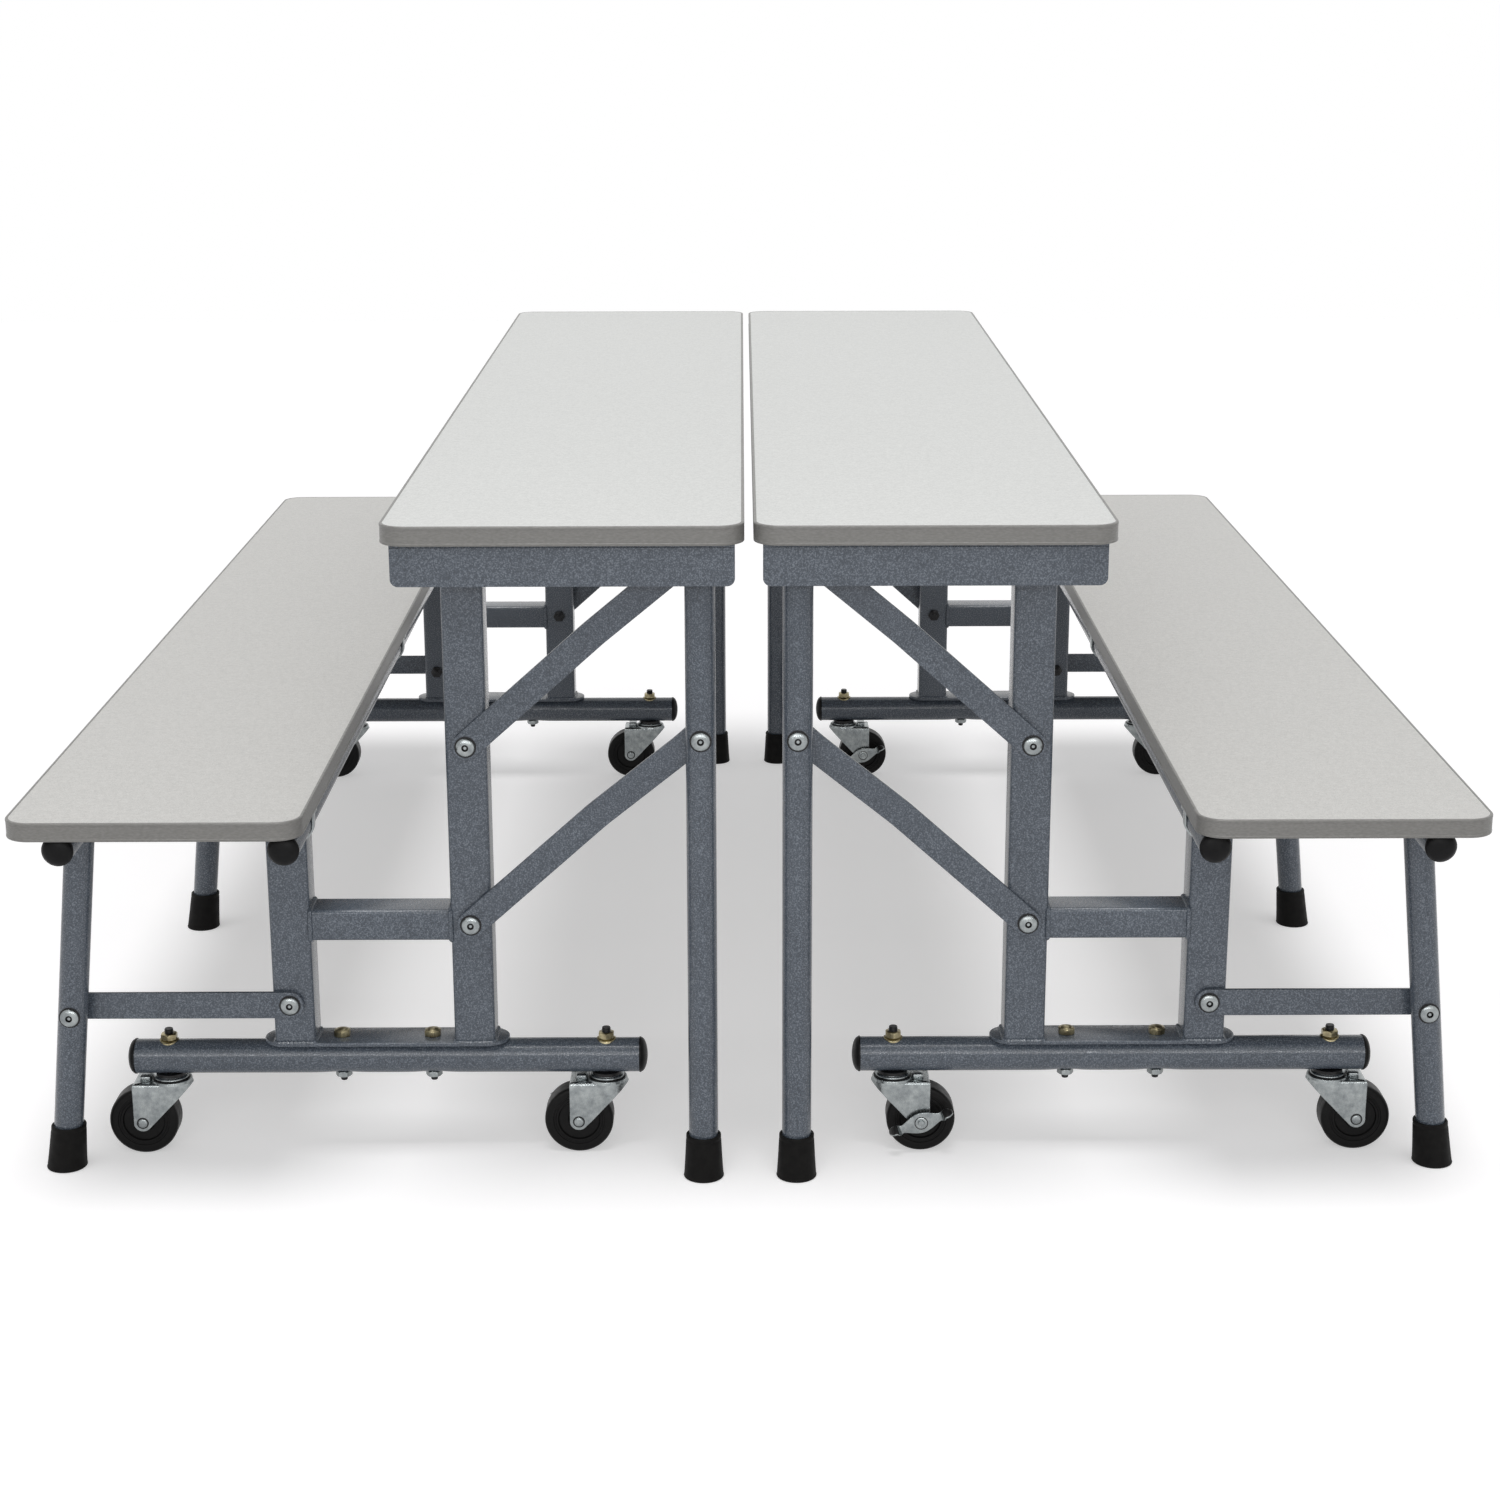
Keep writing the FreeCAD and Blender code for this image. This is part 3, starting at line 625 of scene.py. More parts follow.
# The bar's two faces close on its middle line, and it is offset along the bent line's normal
def flatBar(start, end, front, endFront):
    run = np.array([end[0] - start[0], 0, end[2] - start[2]])
    reach = np.linalg.norm(run)
    half = bar["thick"] / 2
    outline = barOutline(reach, endFront != front)
    spine = np.clip(outline, (0, 0), (reach, 0))
    faces = slabRings(outline, -half, half, bar["edge"])
    rings = np.concatenate([[atHeight(spine, -half)], faces, [atHeight(spine, half)]])
    x, y, height = rings[..., 0], rings[..., 1], rings[..., 2]

    def offset(at):
        ramped = easedRamp(at, reach - bar["bendFrom"], reach - bar["bendTo"], bar["bendRound"])
        return (front - endFront) * ramped

    step = bar["slopeStep"]
    slope = (offset(x + step) - offset(x - step)) / (2 * step)
    tilt = np.sqrt(1 + slope ** 2)
    bent = gridOf(x - height * slope / tilt, y, offset(x) + height / tilt)
    place, along = (start[0], front + half, start[2]), run / reach
    return placed(loft(bent, caps=False), place, (along, np.cross(-yAxis, along)))


linkPivot, lowLegPin = pivot("bench_link_turn"), pivot("table_leg_turn")
upperBrace, lowerBrace = pivot("upper_brace_turn"), pivot("lower_brace_turn")
topLegPin = lowLegPin + upperBrace - lowerBrace
outerRail = pivot("bench_leg_turn")
outerLink = linkPivot + outerRail - seatHinge
barFront, legBarFront = low("bench_links")[1], low("upper_braces")[1]
barBack, legBarBack = barFront + bar["thick"], legBarFront + bar["thick"]
tableLegY = low("table_legs")[1] + railRadius
passing = 0.3 * mm  # between faces that slide past each other

bars = {"upper_brace": (upperBrace, topLegPin, barFront, legBarFront),
        "lower_brace": (lowerBrace, lowLegPin, barFront, legBarFront),
        "bench_link": (outerLink, linkPivot, barFront, barFront)}
for name, run in bars.items():
    addPair(f"{name}_bars", bothEnds([flatBar(*run)]), f"{name}s", f"{name}s", [coat])

# Pivot screws: a pan head whose radius follows a quarter ellipse, with a six-sided recess round
# a pin, and behind what it holds a nut with a domed nylon collar
panHead = {"radius": 10 * mm, "tall": 4.5 * mm, "rim": 1.6 * mm, "crownTurn": 68, "recess": 8.2 * mm,
           "depth": 3.0 * mm, "pin": 1.9 * mm, "shadowRing": 11.6 * mm, "sides": 48}
lockNut = {"width": 16 * mm, "tall": 6.0 * mm, "collar": 6.8 * mm, "over": 2.0 * mm, "stub": 5 * mm,
           "thread": 4 * mm}
pin = {"radius": 6 * mm, "thin": 5 * mm, "sunk": 2 * mm}


def pivotScrew():
    radius, tall, rim, sides = panHead["radius"], panHead["tall"], panHead["rim"], panHead["sides"]
    crownTall = (tall - rim) / math.sin(math.radians(panHead["crownTurn"]))
    crown = ellipseArc(0, rim, radius, crownTall, 0, panHead["crownTurn"], 8)
    rows = np.vstack([[(radius - 0.5 * mm, 0), (radius, 0.5 * mm)], crown])
    ring = circle(sides)
    hexagonal = ring * (panHead["recess"] / 2 * hexReach(angles(sides)))[:, None]
    floor = tall - panHead["depth"]
    sunk = [(hexagonal * 1.12, tall - 0.1 * mm), (hexagonal, tall - 0.5 * mm), (hexagonal * 0.96, floor),
            (ring * panHead["pin"], floor), (ring * panHead["pin"] * 0.85, tall - 0.9 * mm)]
    inside = [atHeight(flat, level) for flat, level in sunk]
    head = loft(np.concatenate([turnedRings(rows, sides), inside]))
    # The recess's walls and floor take the dark finish: painted shade inside the recess
    paintedShadeFrom, paintedShadeTo = sides * len(rows), sides * (len(rows) + 3)
    head["finish"][paintedShadeFrom:paintedShadeTo] = [1] * (paintedShadeTo - paintedShadeFrom)
    return head


# The head at a place, on a dark ring of shade where it meets the paint
def screwAt(place, back):
    head = placed(pivotScrew(), (place[0], back, place[2]), towardFront)
    ring = crossRod(place, back - 0.5 * mm, back + 0.2 * mm, panHead["shadowRing"], 0.2 * mm)
    return [head, finished(ring, 1)]


def nutAt(place, face):
    width, tall, wide, thread = lockNut["width"], lockNut["tall"], lockNut["collar"], lockNut["thread"]
    dome = ellipseArc(0.55 * wide, tall, 0.45 * wide, lockNut["over"], 0, 80)
    collar = turned(np.vstack([[(wide, tall - 0.5 * mm)], dome]))
    stub = shifted(threadedEnd(thread, lockNut["stub"] + thread), (0, 0, tall - thread))
    nut = joined([hexagon(width, tall), collar, stub])
    return [finished(placed(nut, (place[0], face, place[2]), towardBack), 1)]


def sleeve(place, y0, y1, radius):
    return crossRod(place, y0, y1, radius, 0.2 * mm, 32)


# Round the base tube: caster stems with their nuts, and the bolts of the foot plate
stem = {"washer": 10.5 * mm, "washerThick": 1.6 * mm, "nutWidth": 16.5 * mm, "nutTall": 7 * mm,
        "thread": 5 * mm, "above": 14.5 * mm, "race": 19.2 * mm, "seal": 20.2 * mm, "sealTall": 2.4 * mm,
        "neck": 16.4 * mm, "crownGap": 8 * mm}
plateBolt = {"head": 17 * mm, "tall": 7.2 * mm, "dome": 2.2 * mm, "nut": 16 * mm, "nutTall": 6.5 * mm,
             "thread": 4 * mm, "out": 4.5 * mm}
crownTop = baseBottom - stem["crownGap"]


# A washer drawn down on a round tube: each point falls by R - sqrt(R^2 - y^2)
def saddleWasher(radius, thick, tube):
    edge = 0.3 * mm
    rows = np.linspace(radius * 0.3, radius - edge, 8)
    profile = np.vstack([np.stack([rows, np.zeros(8)], axis=1), [(radius, edge), (radius, thick - edge)],
                         np.stack([rows[::-1], np.full(8, thick)], axis=1)])
    washer = turned(profile, 40)
    washer["points"][:, 2] -= tube - np.sqrt(tube ** 2 - washer["points"][:, 1] ** 2)
    return washer


def stemParts(x):
    washer = saddleWasher(stem["washer"], stem["washerThick"], baseRadius)
    nut = shifted(hexagon(stem["nutWidth"], stem["nutTall"]), (0, 0, stem["washerThick"] - 0.6 * mm))
    thread = shifted(threadedEnd(stem["thread"], stem["above"]), (0, 0, -1 * mm))
    bottom = crownTop + passing
    neck, top = stem["neck"], bottom + stem["sealTall"]
    seal = turned([(neck, bottom), (stem["seal"], bottom), (stem["seal"], top), (neck, top)])
    race = turned(np.vstack([[(neck, top)],
                             arc(stem["race"] - 1.2 * mm, top + 1.2 * mm, 1.2 * mm, -90, 60, 6),
                             arc(neck + 0.9 * mm, top + 4.0 * mm, 1.2 * mm, -100, -170, 4)]))
    column = turned([(neck, top), (neck, baseBottom + 1.5 * mm)])
    above = joined([finished(washer, 2), finished(nut, 2), finished(thread, 1)])
    below = joined([finished(seal, 1), race, finished(column, 1)])
    return [shifted(above, (x, frameY, baseTop)), shifted(below, (x, frameY, 0))]


def plateBolts(x):
    wide, tall, nutTall = plateBolt["head"], plateBolt["tall"], plateBolt["nutTall"]
    bottom = baseBottom + baseTube["crush"]
    dome = turned(ellipseArc(0, tall - 0.3 * mm, wide * 0.42, plateBolt["dome"], 0, 75))
    thread = threadedEnd(plateBolt["thread"], nutTall + plateBolt["out"])
    return [shifted(finished(joined([hexagon(wide, tall), dome]), 2), (x, frameY, plateTop)),
            placed(hexagon(plateBolt["nut"], nutTall), (x, frameY, bottom + 0.5 * mm), downwards),
            finished(placed(thread, (x, frameY, bottom), downwards), 1)]


# Bent from one strip over the post, the table's hinge bracket has an ear on each side of it
bracket = {"gap": 1 * mm, "thick": 3 * mm, "width": 36 * mm, "below": 12 * mm, "bend": 3 * mm}


def frameBolts():
    bolts = []
    for place in (upperBrace, lowerBrace, linkPivot):
        bolts += screwAt(place, barFront - passing) + nutAt(place, postBack)
        bolts.append(sleeve(place, barFront, postFace, pin["radius"]))
    ear = bracket["gap"] + bracket["thick"]
    bolts += screwAt(tableHinge, postFace - ear - passing) + nutAt(tableHinge, postBack + ear)
    bolts.append(sleeve(tableHinge, postFace - ear, postBack + ear, pin["thin"]))
    for place in ("front_outer_swivel", "front_inner_swivel"):
        bolts += stemParts(pivot(place)[0])
    for x in boltPlaces:
        bolts += plateBolts(x)
    return bolts


addPair("frame_pivot_screws", bothEnds(frameBolts()), "base", "frame_bolts",
        [zinc, oxideAndShade, yellowZinc])
print("bars and bolts made")

# Under the table half: pressed aprons, hinge brackets, roller tracks and stiffening angles
apronSheet = {"thick": 3 * mm, "corner": 8 * mm, "bend": 4.5 * mm, "flange": 25 * mm,
              "screwInset": 30 * mm, "screwBack": 17 * mm, "screws": 4}
track = {"from": 114.1 * mm, "past": 16 * mm, "width": 12 * mm, "flange": 26 * mm, "wall": 2 * mm,
         "drop": 9.3 * mm, "bend": 1.2 * mm, "screwBack": 60 * mm, "screwAside": 9.5 * mm}
angleBar = {"size": 25 * mm, "thick": 3 * mm, "bend": 3 * mm, "reach": 699.5 * mm,
            "starts": (-302.5 * mm, -95.5 * mm), "screwAside": 15 * mm, "screwReach": 640 * mm, "screws": 7}
screwHead = {"radius": 5.2 * mm, "tall": 2.2 * mm}
rollerGap = 8 * mm  # from the back of a brace to the middle of the roller
rollerMiddle = legBarBack + rollerGap
boardUnder, seatUnder = high("table_frame")[2], high("seat_straps")[2]


# A thin strip of constant thickness that follows a bent line in its own plane, carried along
# the third direction: the line's offset to each side by half the thickness
def bentStrip(line, thick):
    tangent = np.gradient(line, axis=0)
    normal = unit(np.stack([-tangent[:, 1], tangent[:, 0]], axis=1)) * thick / 2
    return np.vstack([line - normal, (line + normal)[::-1]])


# A line through corners with an arc at each of the inner ones
def roundedLine(corners, radius, steps=6):
    corners = np.asarray(corners, float)
    almostSharp = 0.01 * mm
    shut = rounded(corners, [almostSharp] + [radius] * (len(corners) - 2) + [almostSharp], steps)
    return np.vstack([corners[:1], shut[steps + 1:-steps - 1], corners[-1:]])


def alongX(outline, x0, x1, edge=0.4 * mm):
    return placed(slab(outline, x0, x1, edge, 2), origin, towardInner)


def alongY(outline, y0, y1, edge=0.4 * mm):
    return placed(slab(outline, -y1, -y0, edge, 2), origin, towardFront)


# The apron is a web with two round lower corners and a flange bent back under the board
def apron():
    (x0, y0, z0), (x1, _, _) = low("table_frame"), high("table_frame")
    thick, corner, bend = apronSheet["thick"], apronSheet["corner"], apronSheet["bend"]
    webTop, middle = boardUnder - bend, thick / 2
    web = rounded([(x0, z0), (x1, z0), (x1, webTop), (x0, webTop)], [corner, corner, 0.3 * mm, 0.3 * mm], 8)
    line = [(y0 + middle, webTop - 1 * mm), (y0 + middle, boardUnder - middle),
            (y0 + apronSheet["flange"], boardUnder - middle)]
    return [placed(slab(web, 0, thick, 0.7 * mm), (0, y0 + thick, 0), towardFront),
            alongX(bentStrip(roundedLine(line, bend - middle), thick), x0, x1)]


def hingeBracket():
    thick, half = bracket["thick"], bracket["width"] / 2
    aside = bracket["gap"] + thick / 2
    y0, y1 = postFace - aside, postBack + aside
    z0, z1 = tableHinge[2] - bracket["below"], boardUnder - thick / 2
    line = roundedLine([(y0, z0), (y0, z1), (y1, z1), (y1, z0)], bracket["bend"])
    return alongX(bentStrip(line, thick), tablePostX - half, tablePostX + half, 0.6 * mm)


def rollerTrack():
    wall, wide = track["wall"], track["flange"] / 2
    narrow = track["width"] / 2 - wall / 2
    bottom, top = topLegPin[2] + track["drop"] + wall / 2, boardUnder - wall / 2
    line = np.array([(-wide, top), (-narrow, top), (-narrow, bottom), (narrow, bottom), (narrow, top),
                     (wide, top)])
    line = roundedLine(line + (rollerMiddle, 0), track["bend"], 4)
    return alongX(bentStrip(line, wall), tablePostX + track["from"], topLegPin[0] + track["past"], 0.3 * mm)


def stiffener(x):
    reach, thick, size = angleBar["reach"], angleBar["thick"], angleBar["size"]
    line = roundedLine([(x + thick / 2, boardUnder - size), (x + thick / 2, boardUnder - thick / 2),
                        (x + size, boardUnder - thick / 2)], angleBar["bend"])
    return alongY(bentStrip(line, thick), -reach, reach)


def woodScrew(x, y, z):
    head = turned(ellipseArc(0, 0, screwHead["radius"], screwHead["tall"], 0, 70), 24)
    return placed(finished(head, 1), (x, y, z), downwards)


def tableFrame():
    (x0, y0, _), (x1, _, _) = low("table_frame"), high("table_frame")
    inset = apronSheet["screwInset"]
    front = apron() + [hingeBracket(), rollerTrack()]
    front += [woodScrew(x, y0 + apronSheet["screwBack"], boardUnder - apronSheet["thick"])
              for x in np.linspace(x0 + inset, x1 - inset, apronSheet["screws"])]
    front += [woodScrew(topLegPin[0] - track["screwBack"], rollerMiddle + aside, boardUnder - track["wall"])
              for aside in (-track["screwAside"], track["screwAside"])]
    whole = [bothEnds(front)]
    reach = angleBar["screwReach"]
    for x in angleBar["starts"]:
        whole.append(stiffener(x))
        whole += [woodScrew(x + angleBar["screwAside"], y, boardUnder - angleBar["thick"])
                  for y in np.linspace(-reach, reach, angleBar["screws"])]
    return joined(whole)


addPair("table_under_frame", tableFrame(), "table_top", "table_frame", [coat, zinc])
print("table frame made")

# Legs and their rubber feet. A foot flares downwards, its rim is rolled and its mouth has a
# thick lip round the tube; under a slanting leg each level is moved along with the leg.
foot = {"height": 50 * mm, "base": 22 * mm, "mouth": 19 * mm, "rim": 2.2 * mm, "lip": 1.3 * mm,
        "tubeSunk": 3 * mm}
legStart = foot["height"] - foot["tubeSunk"]


def rubberFoot(x, y, lean=0.0):
    base, mouth, tall, rim, lip = foot["base"], foot["mouth"], foot["height"], foot["rim"], foot["lip"]
    level = np.linspace(rim + 1 * mm, tall - 7 * mm, 8)
    flare = base + (mouth - base) * (level / tall) ** 0.75 - 0.1 * mm
    underLip = [(mouth - 0.25 * mm, tall - 5.4 * mm), (mouth - 0.2 * mm, tall - 4.6 * mm),
                (mouth, tall - 4 * mm)]
    roundTube = [(railRadius + 0.9 * mm, tall - 0.2 * mm), (railRadius + 0.2 * mm, tall - 1.0 * mm),
                 (railRadius - 0.4 * mm, tall - 2.2 * mm)]
    sole = [(base * 0.55, 1.0 * mm), (base * 0.62, 0)]
    item = turned(np.vstack([sole, arc(base - rim, rim, rim, -90, -8, 6), np.stack([flare, level], axis=1),
                             underLip, arc(mouth - lip, tall - lip, lip, 10, 100), roundTube]), 56)
    item["points"][:, 0] += lean * item["points"][:, 2]
    return shifted(item, (x, y, 0))


legTop = (lowLegPin[0], tableLegY, high("table_legs")[2])
tableLeg = rod((lowLegPin[0], tableLegY, legStart), legTop, railRadius)
addPair("table_leg_tubes", bothEnds([tableLeg]), "table_legs", "table_legs", [coat])
addPair("table_leg_feet", bothEnds([rubberFoot(lowLegPin[0], tableLegY)]), "table_legs", "table_leg_tips",
        [rubber])

roller = {"radius": 9 * mm, "width": 12 * mm, "bore": 5.2 * mm, "edge": 1 * mm}
spacer = {"radius": 9 * mm, "sunk": 5 * mm, "proud": 0.1 * mm}


def nylonRoller():
    edge, half = roller["edge"], roller["width"] / 2
    x = roller["radius"] - edge
    profile = np.vstack([[(roller["bore"], -half)], arc(x, edge - half, edge, -90, 0, 3),
                         arc(x, half - edge, edge, 0, 90, 3), [(roller["bore"], half)]])
    return placed(turned(profile, 40), (topLegPin[0], rollerMiddle, topLegPin[2]), towardBack)


# A head on the front of a round leg stands on a short spacer that is sunk into the tube
def legScrew(place, middleY):
    front = middleY - railRadius
    seat = crossRod(place, front - spacer["proud"], front + spacer["sunk"], spacer["radius"], 0.3 * mm, 40)
    return screwAt(place, front - spacer["proud"]) + [finished(seat, 1)]


def tableLegPins():
    start = tableLegY + railRadius - pin["sunk"]
    pastRoller = rollerMiddle + roller["width"] / 2 + 1 * mm
    return legScrew(lowLegPin, tableLegY) + legScrew(topLegPin, tableLegY) + \
        [sleeve(lowLegPin, start, legBarBack, pin["radius"])] + nutAt(lowLegPin, legBarBack + passing) + \
        [sleeve(topLegPin, start, pastRoller, pin["thin"]), finished(nylonRoller(), 2)]


addPair("table_leg_screws", bothEnds(tableLegPins()), "table_legs", "table_leg_pins",
        [zinc, oxideAndShade, polyethylene])

legWeld = {"from": 42, "to": 318, "bead": 1.7 * mm}
benchRailEnds = low("bench_legs")[1], high("bench_legs")[1]
benchLegY = low("bench_leg_bolts")[1] + panHead["tall"] + railRadius
legSlant = unit((outerRail - outerLink) * (1, 0, 1))
leanPerHeight = legSlant[0] / legSlant[2]
benchFootX = outerRail[0] - leanPerHeight * outerRail[2]


# Where two equal tubes meet, the leg's surface is on the rail's at R |sin| below its axis. The
# weld leaves out the side that comes to lie against the seat when the bench is folded.
def copedWeld(y):
    angle = np.radians(np.linspace(legWeld["from"], legWeld["to"], 97))[:, None]
    across = np.cross(yAxis, legSlant)
    path = railRadius * (np.cos(angle) * across + np.sin(angle) * yAxis - np.abs(np.sin(angle)) * legSlant)
    return weldBead(path + (outerRail[0], y, outerRail[2]), legSlant, legWeld["bead"], 120, closed=False)


def benchLeg(y):
    start = (benchFootX + leanPerHeight * legStart, y, legStart)
    return [rod(start, (outerRail[0], y, outerRail[2]), railRadius), copedWeld(y)]


def benchFeet():
    railCap = placed(endCap(railRadius), (outerRail[0], benchRailEnds[0], outerRail[2]), towardFront)
    return joined([rubberFoot(benchFootX, 0.0, leanPerHeight),
                   bothEnds([rubberFoot(benchFootX, benchLegY, leanPerHeight)]),
                   finished(bothEnds([railCap]), 1)])


def benchLegBolts():
    start = benchLegY + railRadius - pin["sunk"]
    return legScrew(outerLink, benchLegY) + nutAt(outerLink, barBack + passing) + \
        [sleeve(outerLink, start, barBack, pin["radius"])]


benchLegParts = [bothEnds(benchLeg(benchLegY))] + benchLeg(0.0)
benchLegParts.append(crossRod(outerRail, *benchRailEnds, railRadius))
addPair("bench_leg_frame", joined(benchLegParts), "bench_legs", "bench_legs", [coat])
addPair("bench_leg_feet", benchFeet(), "bench_legs", "bench_leg_tips", [rubber, polyethylene])
addPair("bench_leg_screws", bothEnds(benchLegBolts()), "bench_legs", "bench_leg_bolts",
        [zinc, oxideAndShade])
print("legs made")

# Saddle straps under the seat: half a circle round the rail between two bent flanges. The hinge
# rail runs near the seat's inner edge, so there the flange is short and has no screw.
strap = {"wide": 12 * mm, "thick": 2.5 * mm, "flange": 14 * mm, "edgeFlange": 2.4 * mm, "bend": 1.5 * mm,
         "gap": 0.08 * mm, "screwAt": 0.55, "fromLeg": 48 * mm}


def strapOutline(x, edgeFlange):
    thick, bend = strap["thick"], strap["bend"]
    inner = railRadius + strap["gap"]
    outer, wide = inner + thick, bend + thick
    start, end = -outer - strap["flange"], outer + edgeFlange
    drop = seatHinge[2] - seatUnder
    outline = np.vstack([[(start, 0), (start, -thick)], arc(-outer - bend, -wide, bend, 90, 0, 4),
                         arc(0, drop, outer, 180, 360, 32), arc(outer + bend, -wide, bend, 180, 90, 4),
                         [(end, -thick), (end, 0)], arc(inner + wide, -wide, wide, 90, 180, 4),
                         arc(0, drop, inner, 360, 180, 32), arc(-inner - wide, -wide, wide, 0, 90, 4)])
    return outline + (x, seatUnder)


def saddleStrap(x, y, sides=(-1, 1)):
    half, thick = strap["wide"] / 2, strap["thick"]
    outline = strapOutline(x, strap["flange"] if 1 in sides else strap["edgeFlange"])
    reach = railRadius + thick + strap["flange"] * strap["screwAt"]
    screws = [finished(woodScrew(x + side * reach, y, seatUnder - thick), 0) for side in sides]
    return [alongY(outline, y - half, y + half, 0.5 * mm)] + screws


def seatStraps():
    endY = low("seat_straps")[1] + strap["wide"] / 2
    paired = saddleStrap(seatHinge[0], endY, (-1,)) + saddleStrap(outerRail[0], benchLegY + strap["fromLeg"])
    return joined(saddleStrap(seatHinge[0], 0.0, (-1,)) + [bothEnds(paired)])


addPair("seat_saddle_straps", seatStraps(), "seat", "seat_straps", [zinc])
print("straps made")

# Casters, worked out about the stem with the wheel trailing toward -x and the floor at z = 0
fork = {"halfWidth": 19.5 * mm, "thick": 2.5 * mm, "rim": 0.4 * mm, "corner": 0.8 * mm, "bend": 3.2 * mm,
        "crease": -15.5 * mm, "noseFrom": -2 * mm, "noseHalf": 16.5 * mm, "front": 24 * mm, "end": 10 * mm,
        "edgeX": 22 * mm, "edgeZ": 78 * mm, "skirt": 3.2 * mm, "collar": 22.4 * mm, "collarTall": 2.2 * mm}
bridge = {"from": -34 * mm, "to": -21.5 * mm, "half": 9 * mm, "tall": 5.5 * mm, "corner": 3 * mm}
axle = {"half": 17.5 * mm, "radius": 4.5 * mm, "rivet": 5.4 * mm, "ring": 6.6 * mm}
wheelMiddle = pivot("front_outer_roll") - pivot("front_outer_swivel") * (1, 1, 0)
trail, wheelRadius = -wheelMiddle[0], wheelMiddle[2]


# The plan of the fork: straight sides, a crease where they start to lean in, a nose that is
# half an ellipse and a square back
def forkPlan():
    half, crease, nose, corner = fork["halfWidth"], fork["crease"], fork["noseFrom"], fork["corner"]
    back = -trail - fork["end"]
    tip = ellipseArc(nose, 0, fork["front"] - nose, fork["noseHalf"], -90, 90, 36)[1:-1]
    side = np.concatenate([np.linspace(back + corner, crease, 24), np.linspace(crease, nose, 9)[1:]])
    lean = np.clip((side - crease) / (nose - crease), 0, 1) * (half - fork["noseHalf"])
    lower = np.stack([side, lean - half], axis=1)
    turn = arc(back + corner, corner - half, corner, 180, 270, 4)[:-1]
    return np.vstack([turn, lower, tip, lower[::-1] * (1, -1), turn[::-1] * (1, -1)])


# How low the cheek reaches at each x: round the axle a circle, then the slanted front edge,
# which is the circle's tangent through a given point; across the back only the crown's edge
def cheekFoot(plan):
    end = fork["end"]
    away = np.array([fork["edgeX"] + trail, fork["edgeZ"] - wheelRadius])
    slant = math.atan2(away[1], away[0]) + math.asin(end / np.linalg.norm(away))
    x = plan[:, 0] + trail
    meets = end * math.sin(slant)
    circleFoot = wheelRadius - np.sqrt(np.clip(end ** 2 - x ** 2, 0, None))
    lineFoot = wheelRadius - end * math.cos(slant) + (x - meets) * math.tan(slant)
    reach = np.where(x < meets, circleFoot, lineFoot)
    acrossBack = (np.abs(plan[:, 1]) < fork["halfWidth"] - 0.7 * mm) & (plan[:, 0] < -trail)
    skirt = crownTop - fork["skirt"]
    return np.where(acrossBack, skirt, np.minimum(reach, skirt))


# The sheet: up the outside from the foot, round the bend and in over the crown to the stem,
# and back under the crown and down the inside
def forkSheet():
    plan = forkPlan()
    cheek, inwards = cheekFoot(plan), inward(plan)
    bend, thick, rim = fork["bend"], fork["thick"], fork["rim"]

    def edge(inset):
        return np.column_stack([plan + inset * inwards, cheek])

    def wall(inset, top):
        start = np.minimum(cheek + rim, top)
        return [np.column_stack([plan + inset * inwards, start + (top - start) * share])
                for share in (0, 0.25, 0.5, 0.75, 1)]

    def crown(inset, level, shrinks=(1, 0.8, 0.5, 0.15)):
        return [atHeight((plan + inset * inwards) * shrink, level) for shrink in shrinks]

    outer = [edge(rim)] + wall(0, crownTop - bend)
    for turn in np.radians([25, 50, 75]):
        outer += crown(bend * (1 - math.cos(turn)), crownTop - bend + bend * math.sin(turn), (1,))
    outer += crown(bend, crownTop)
    under, inset = crownTop - thick, 0.5 * mm
    inside = [edge(thick - rim)] + wall(thick, under - inset) + crown(thick + inset, under)
    return loft(np.array(inside[::-1] + outer))


# A raised collar round the swivel, a bridge behind it and the axle with its rivets, whose domes
# have the rivet's radius times cos^0.6
def forkParts():
    collar, top = fork["collar"], crownTop + fork["collarTall"]
    raised = turned(np.vstack([[(collar * 0.6, crownTop - 1 * mm), (collar + 0.6 * mm, crownTop - 1 * mm)],
                               arc(collar - 1 * mm, top - 1 * mm, 1 * mm, 0, 90, 4),
                               arc(collar - 1.2 * mm, top - 0.8 * mm, 0.8 * mm, 100, 180, 3),
                               [(collar - 2.2 * mm, crownTop + 0.15 * mm),
                                (collar * 0.5, crownTop + 0.15 * mm)]]))
    outline = rectangle(bridge["from"], bridge["to"], -bridge["half"], bridge["half"], bridge["corner"])
    middle = (-trail, 0, wheelRadius)
    parts = [forkSheet(), raised, slab(outline, crownTop - 1 * mm, crownTop + bridge["tall"], 1.2 * mm),
             crossRod(middle, -axle["half"], axle["half"], axle["radius"], 0.1 * mm, 32)]
    dome = ellipseArc(0, 0.4 * mm, 1, 1.8 * mm, 0, 75) ** (0.6, 1) * (axle["rivet"], 1)
    rivet = turned(np.vstack([[(axle["rivet"], -0.5 * mm)], dome]), 40)
    # A dark ring round each rivet is painted shade where the rivet meets the fork
    wide = axle["ring"]
    ring = turned([(wide, -0.3 * mm), (wide, 0.35 * mm), (wide - 0.4 * mm, 0.5 * mm),
                   (4.0 * mm, 0.5 * mm)], 40)
    stub = joined([rivet, finished(ring, 1)])
    for facing, axes in ((-1, towardFront), (1, towardBack)):
        parts.append(placed(stub, (-trail, facing * fork["halfWidth"], wheelRadius), axes))
    return joined(parts)


# The wheel: a hub, a sunk web with a raised ring and a tread with round shoulders
wheel = {"half": 15 * mm, "bore": 4.7 * mm, "hub": 11 * mm, "web": 3.2 * mm, "ring": 24 * mm,
         "shoulder": 4.5 * mm}


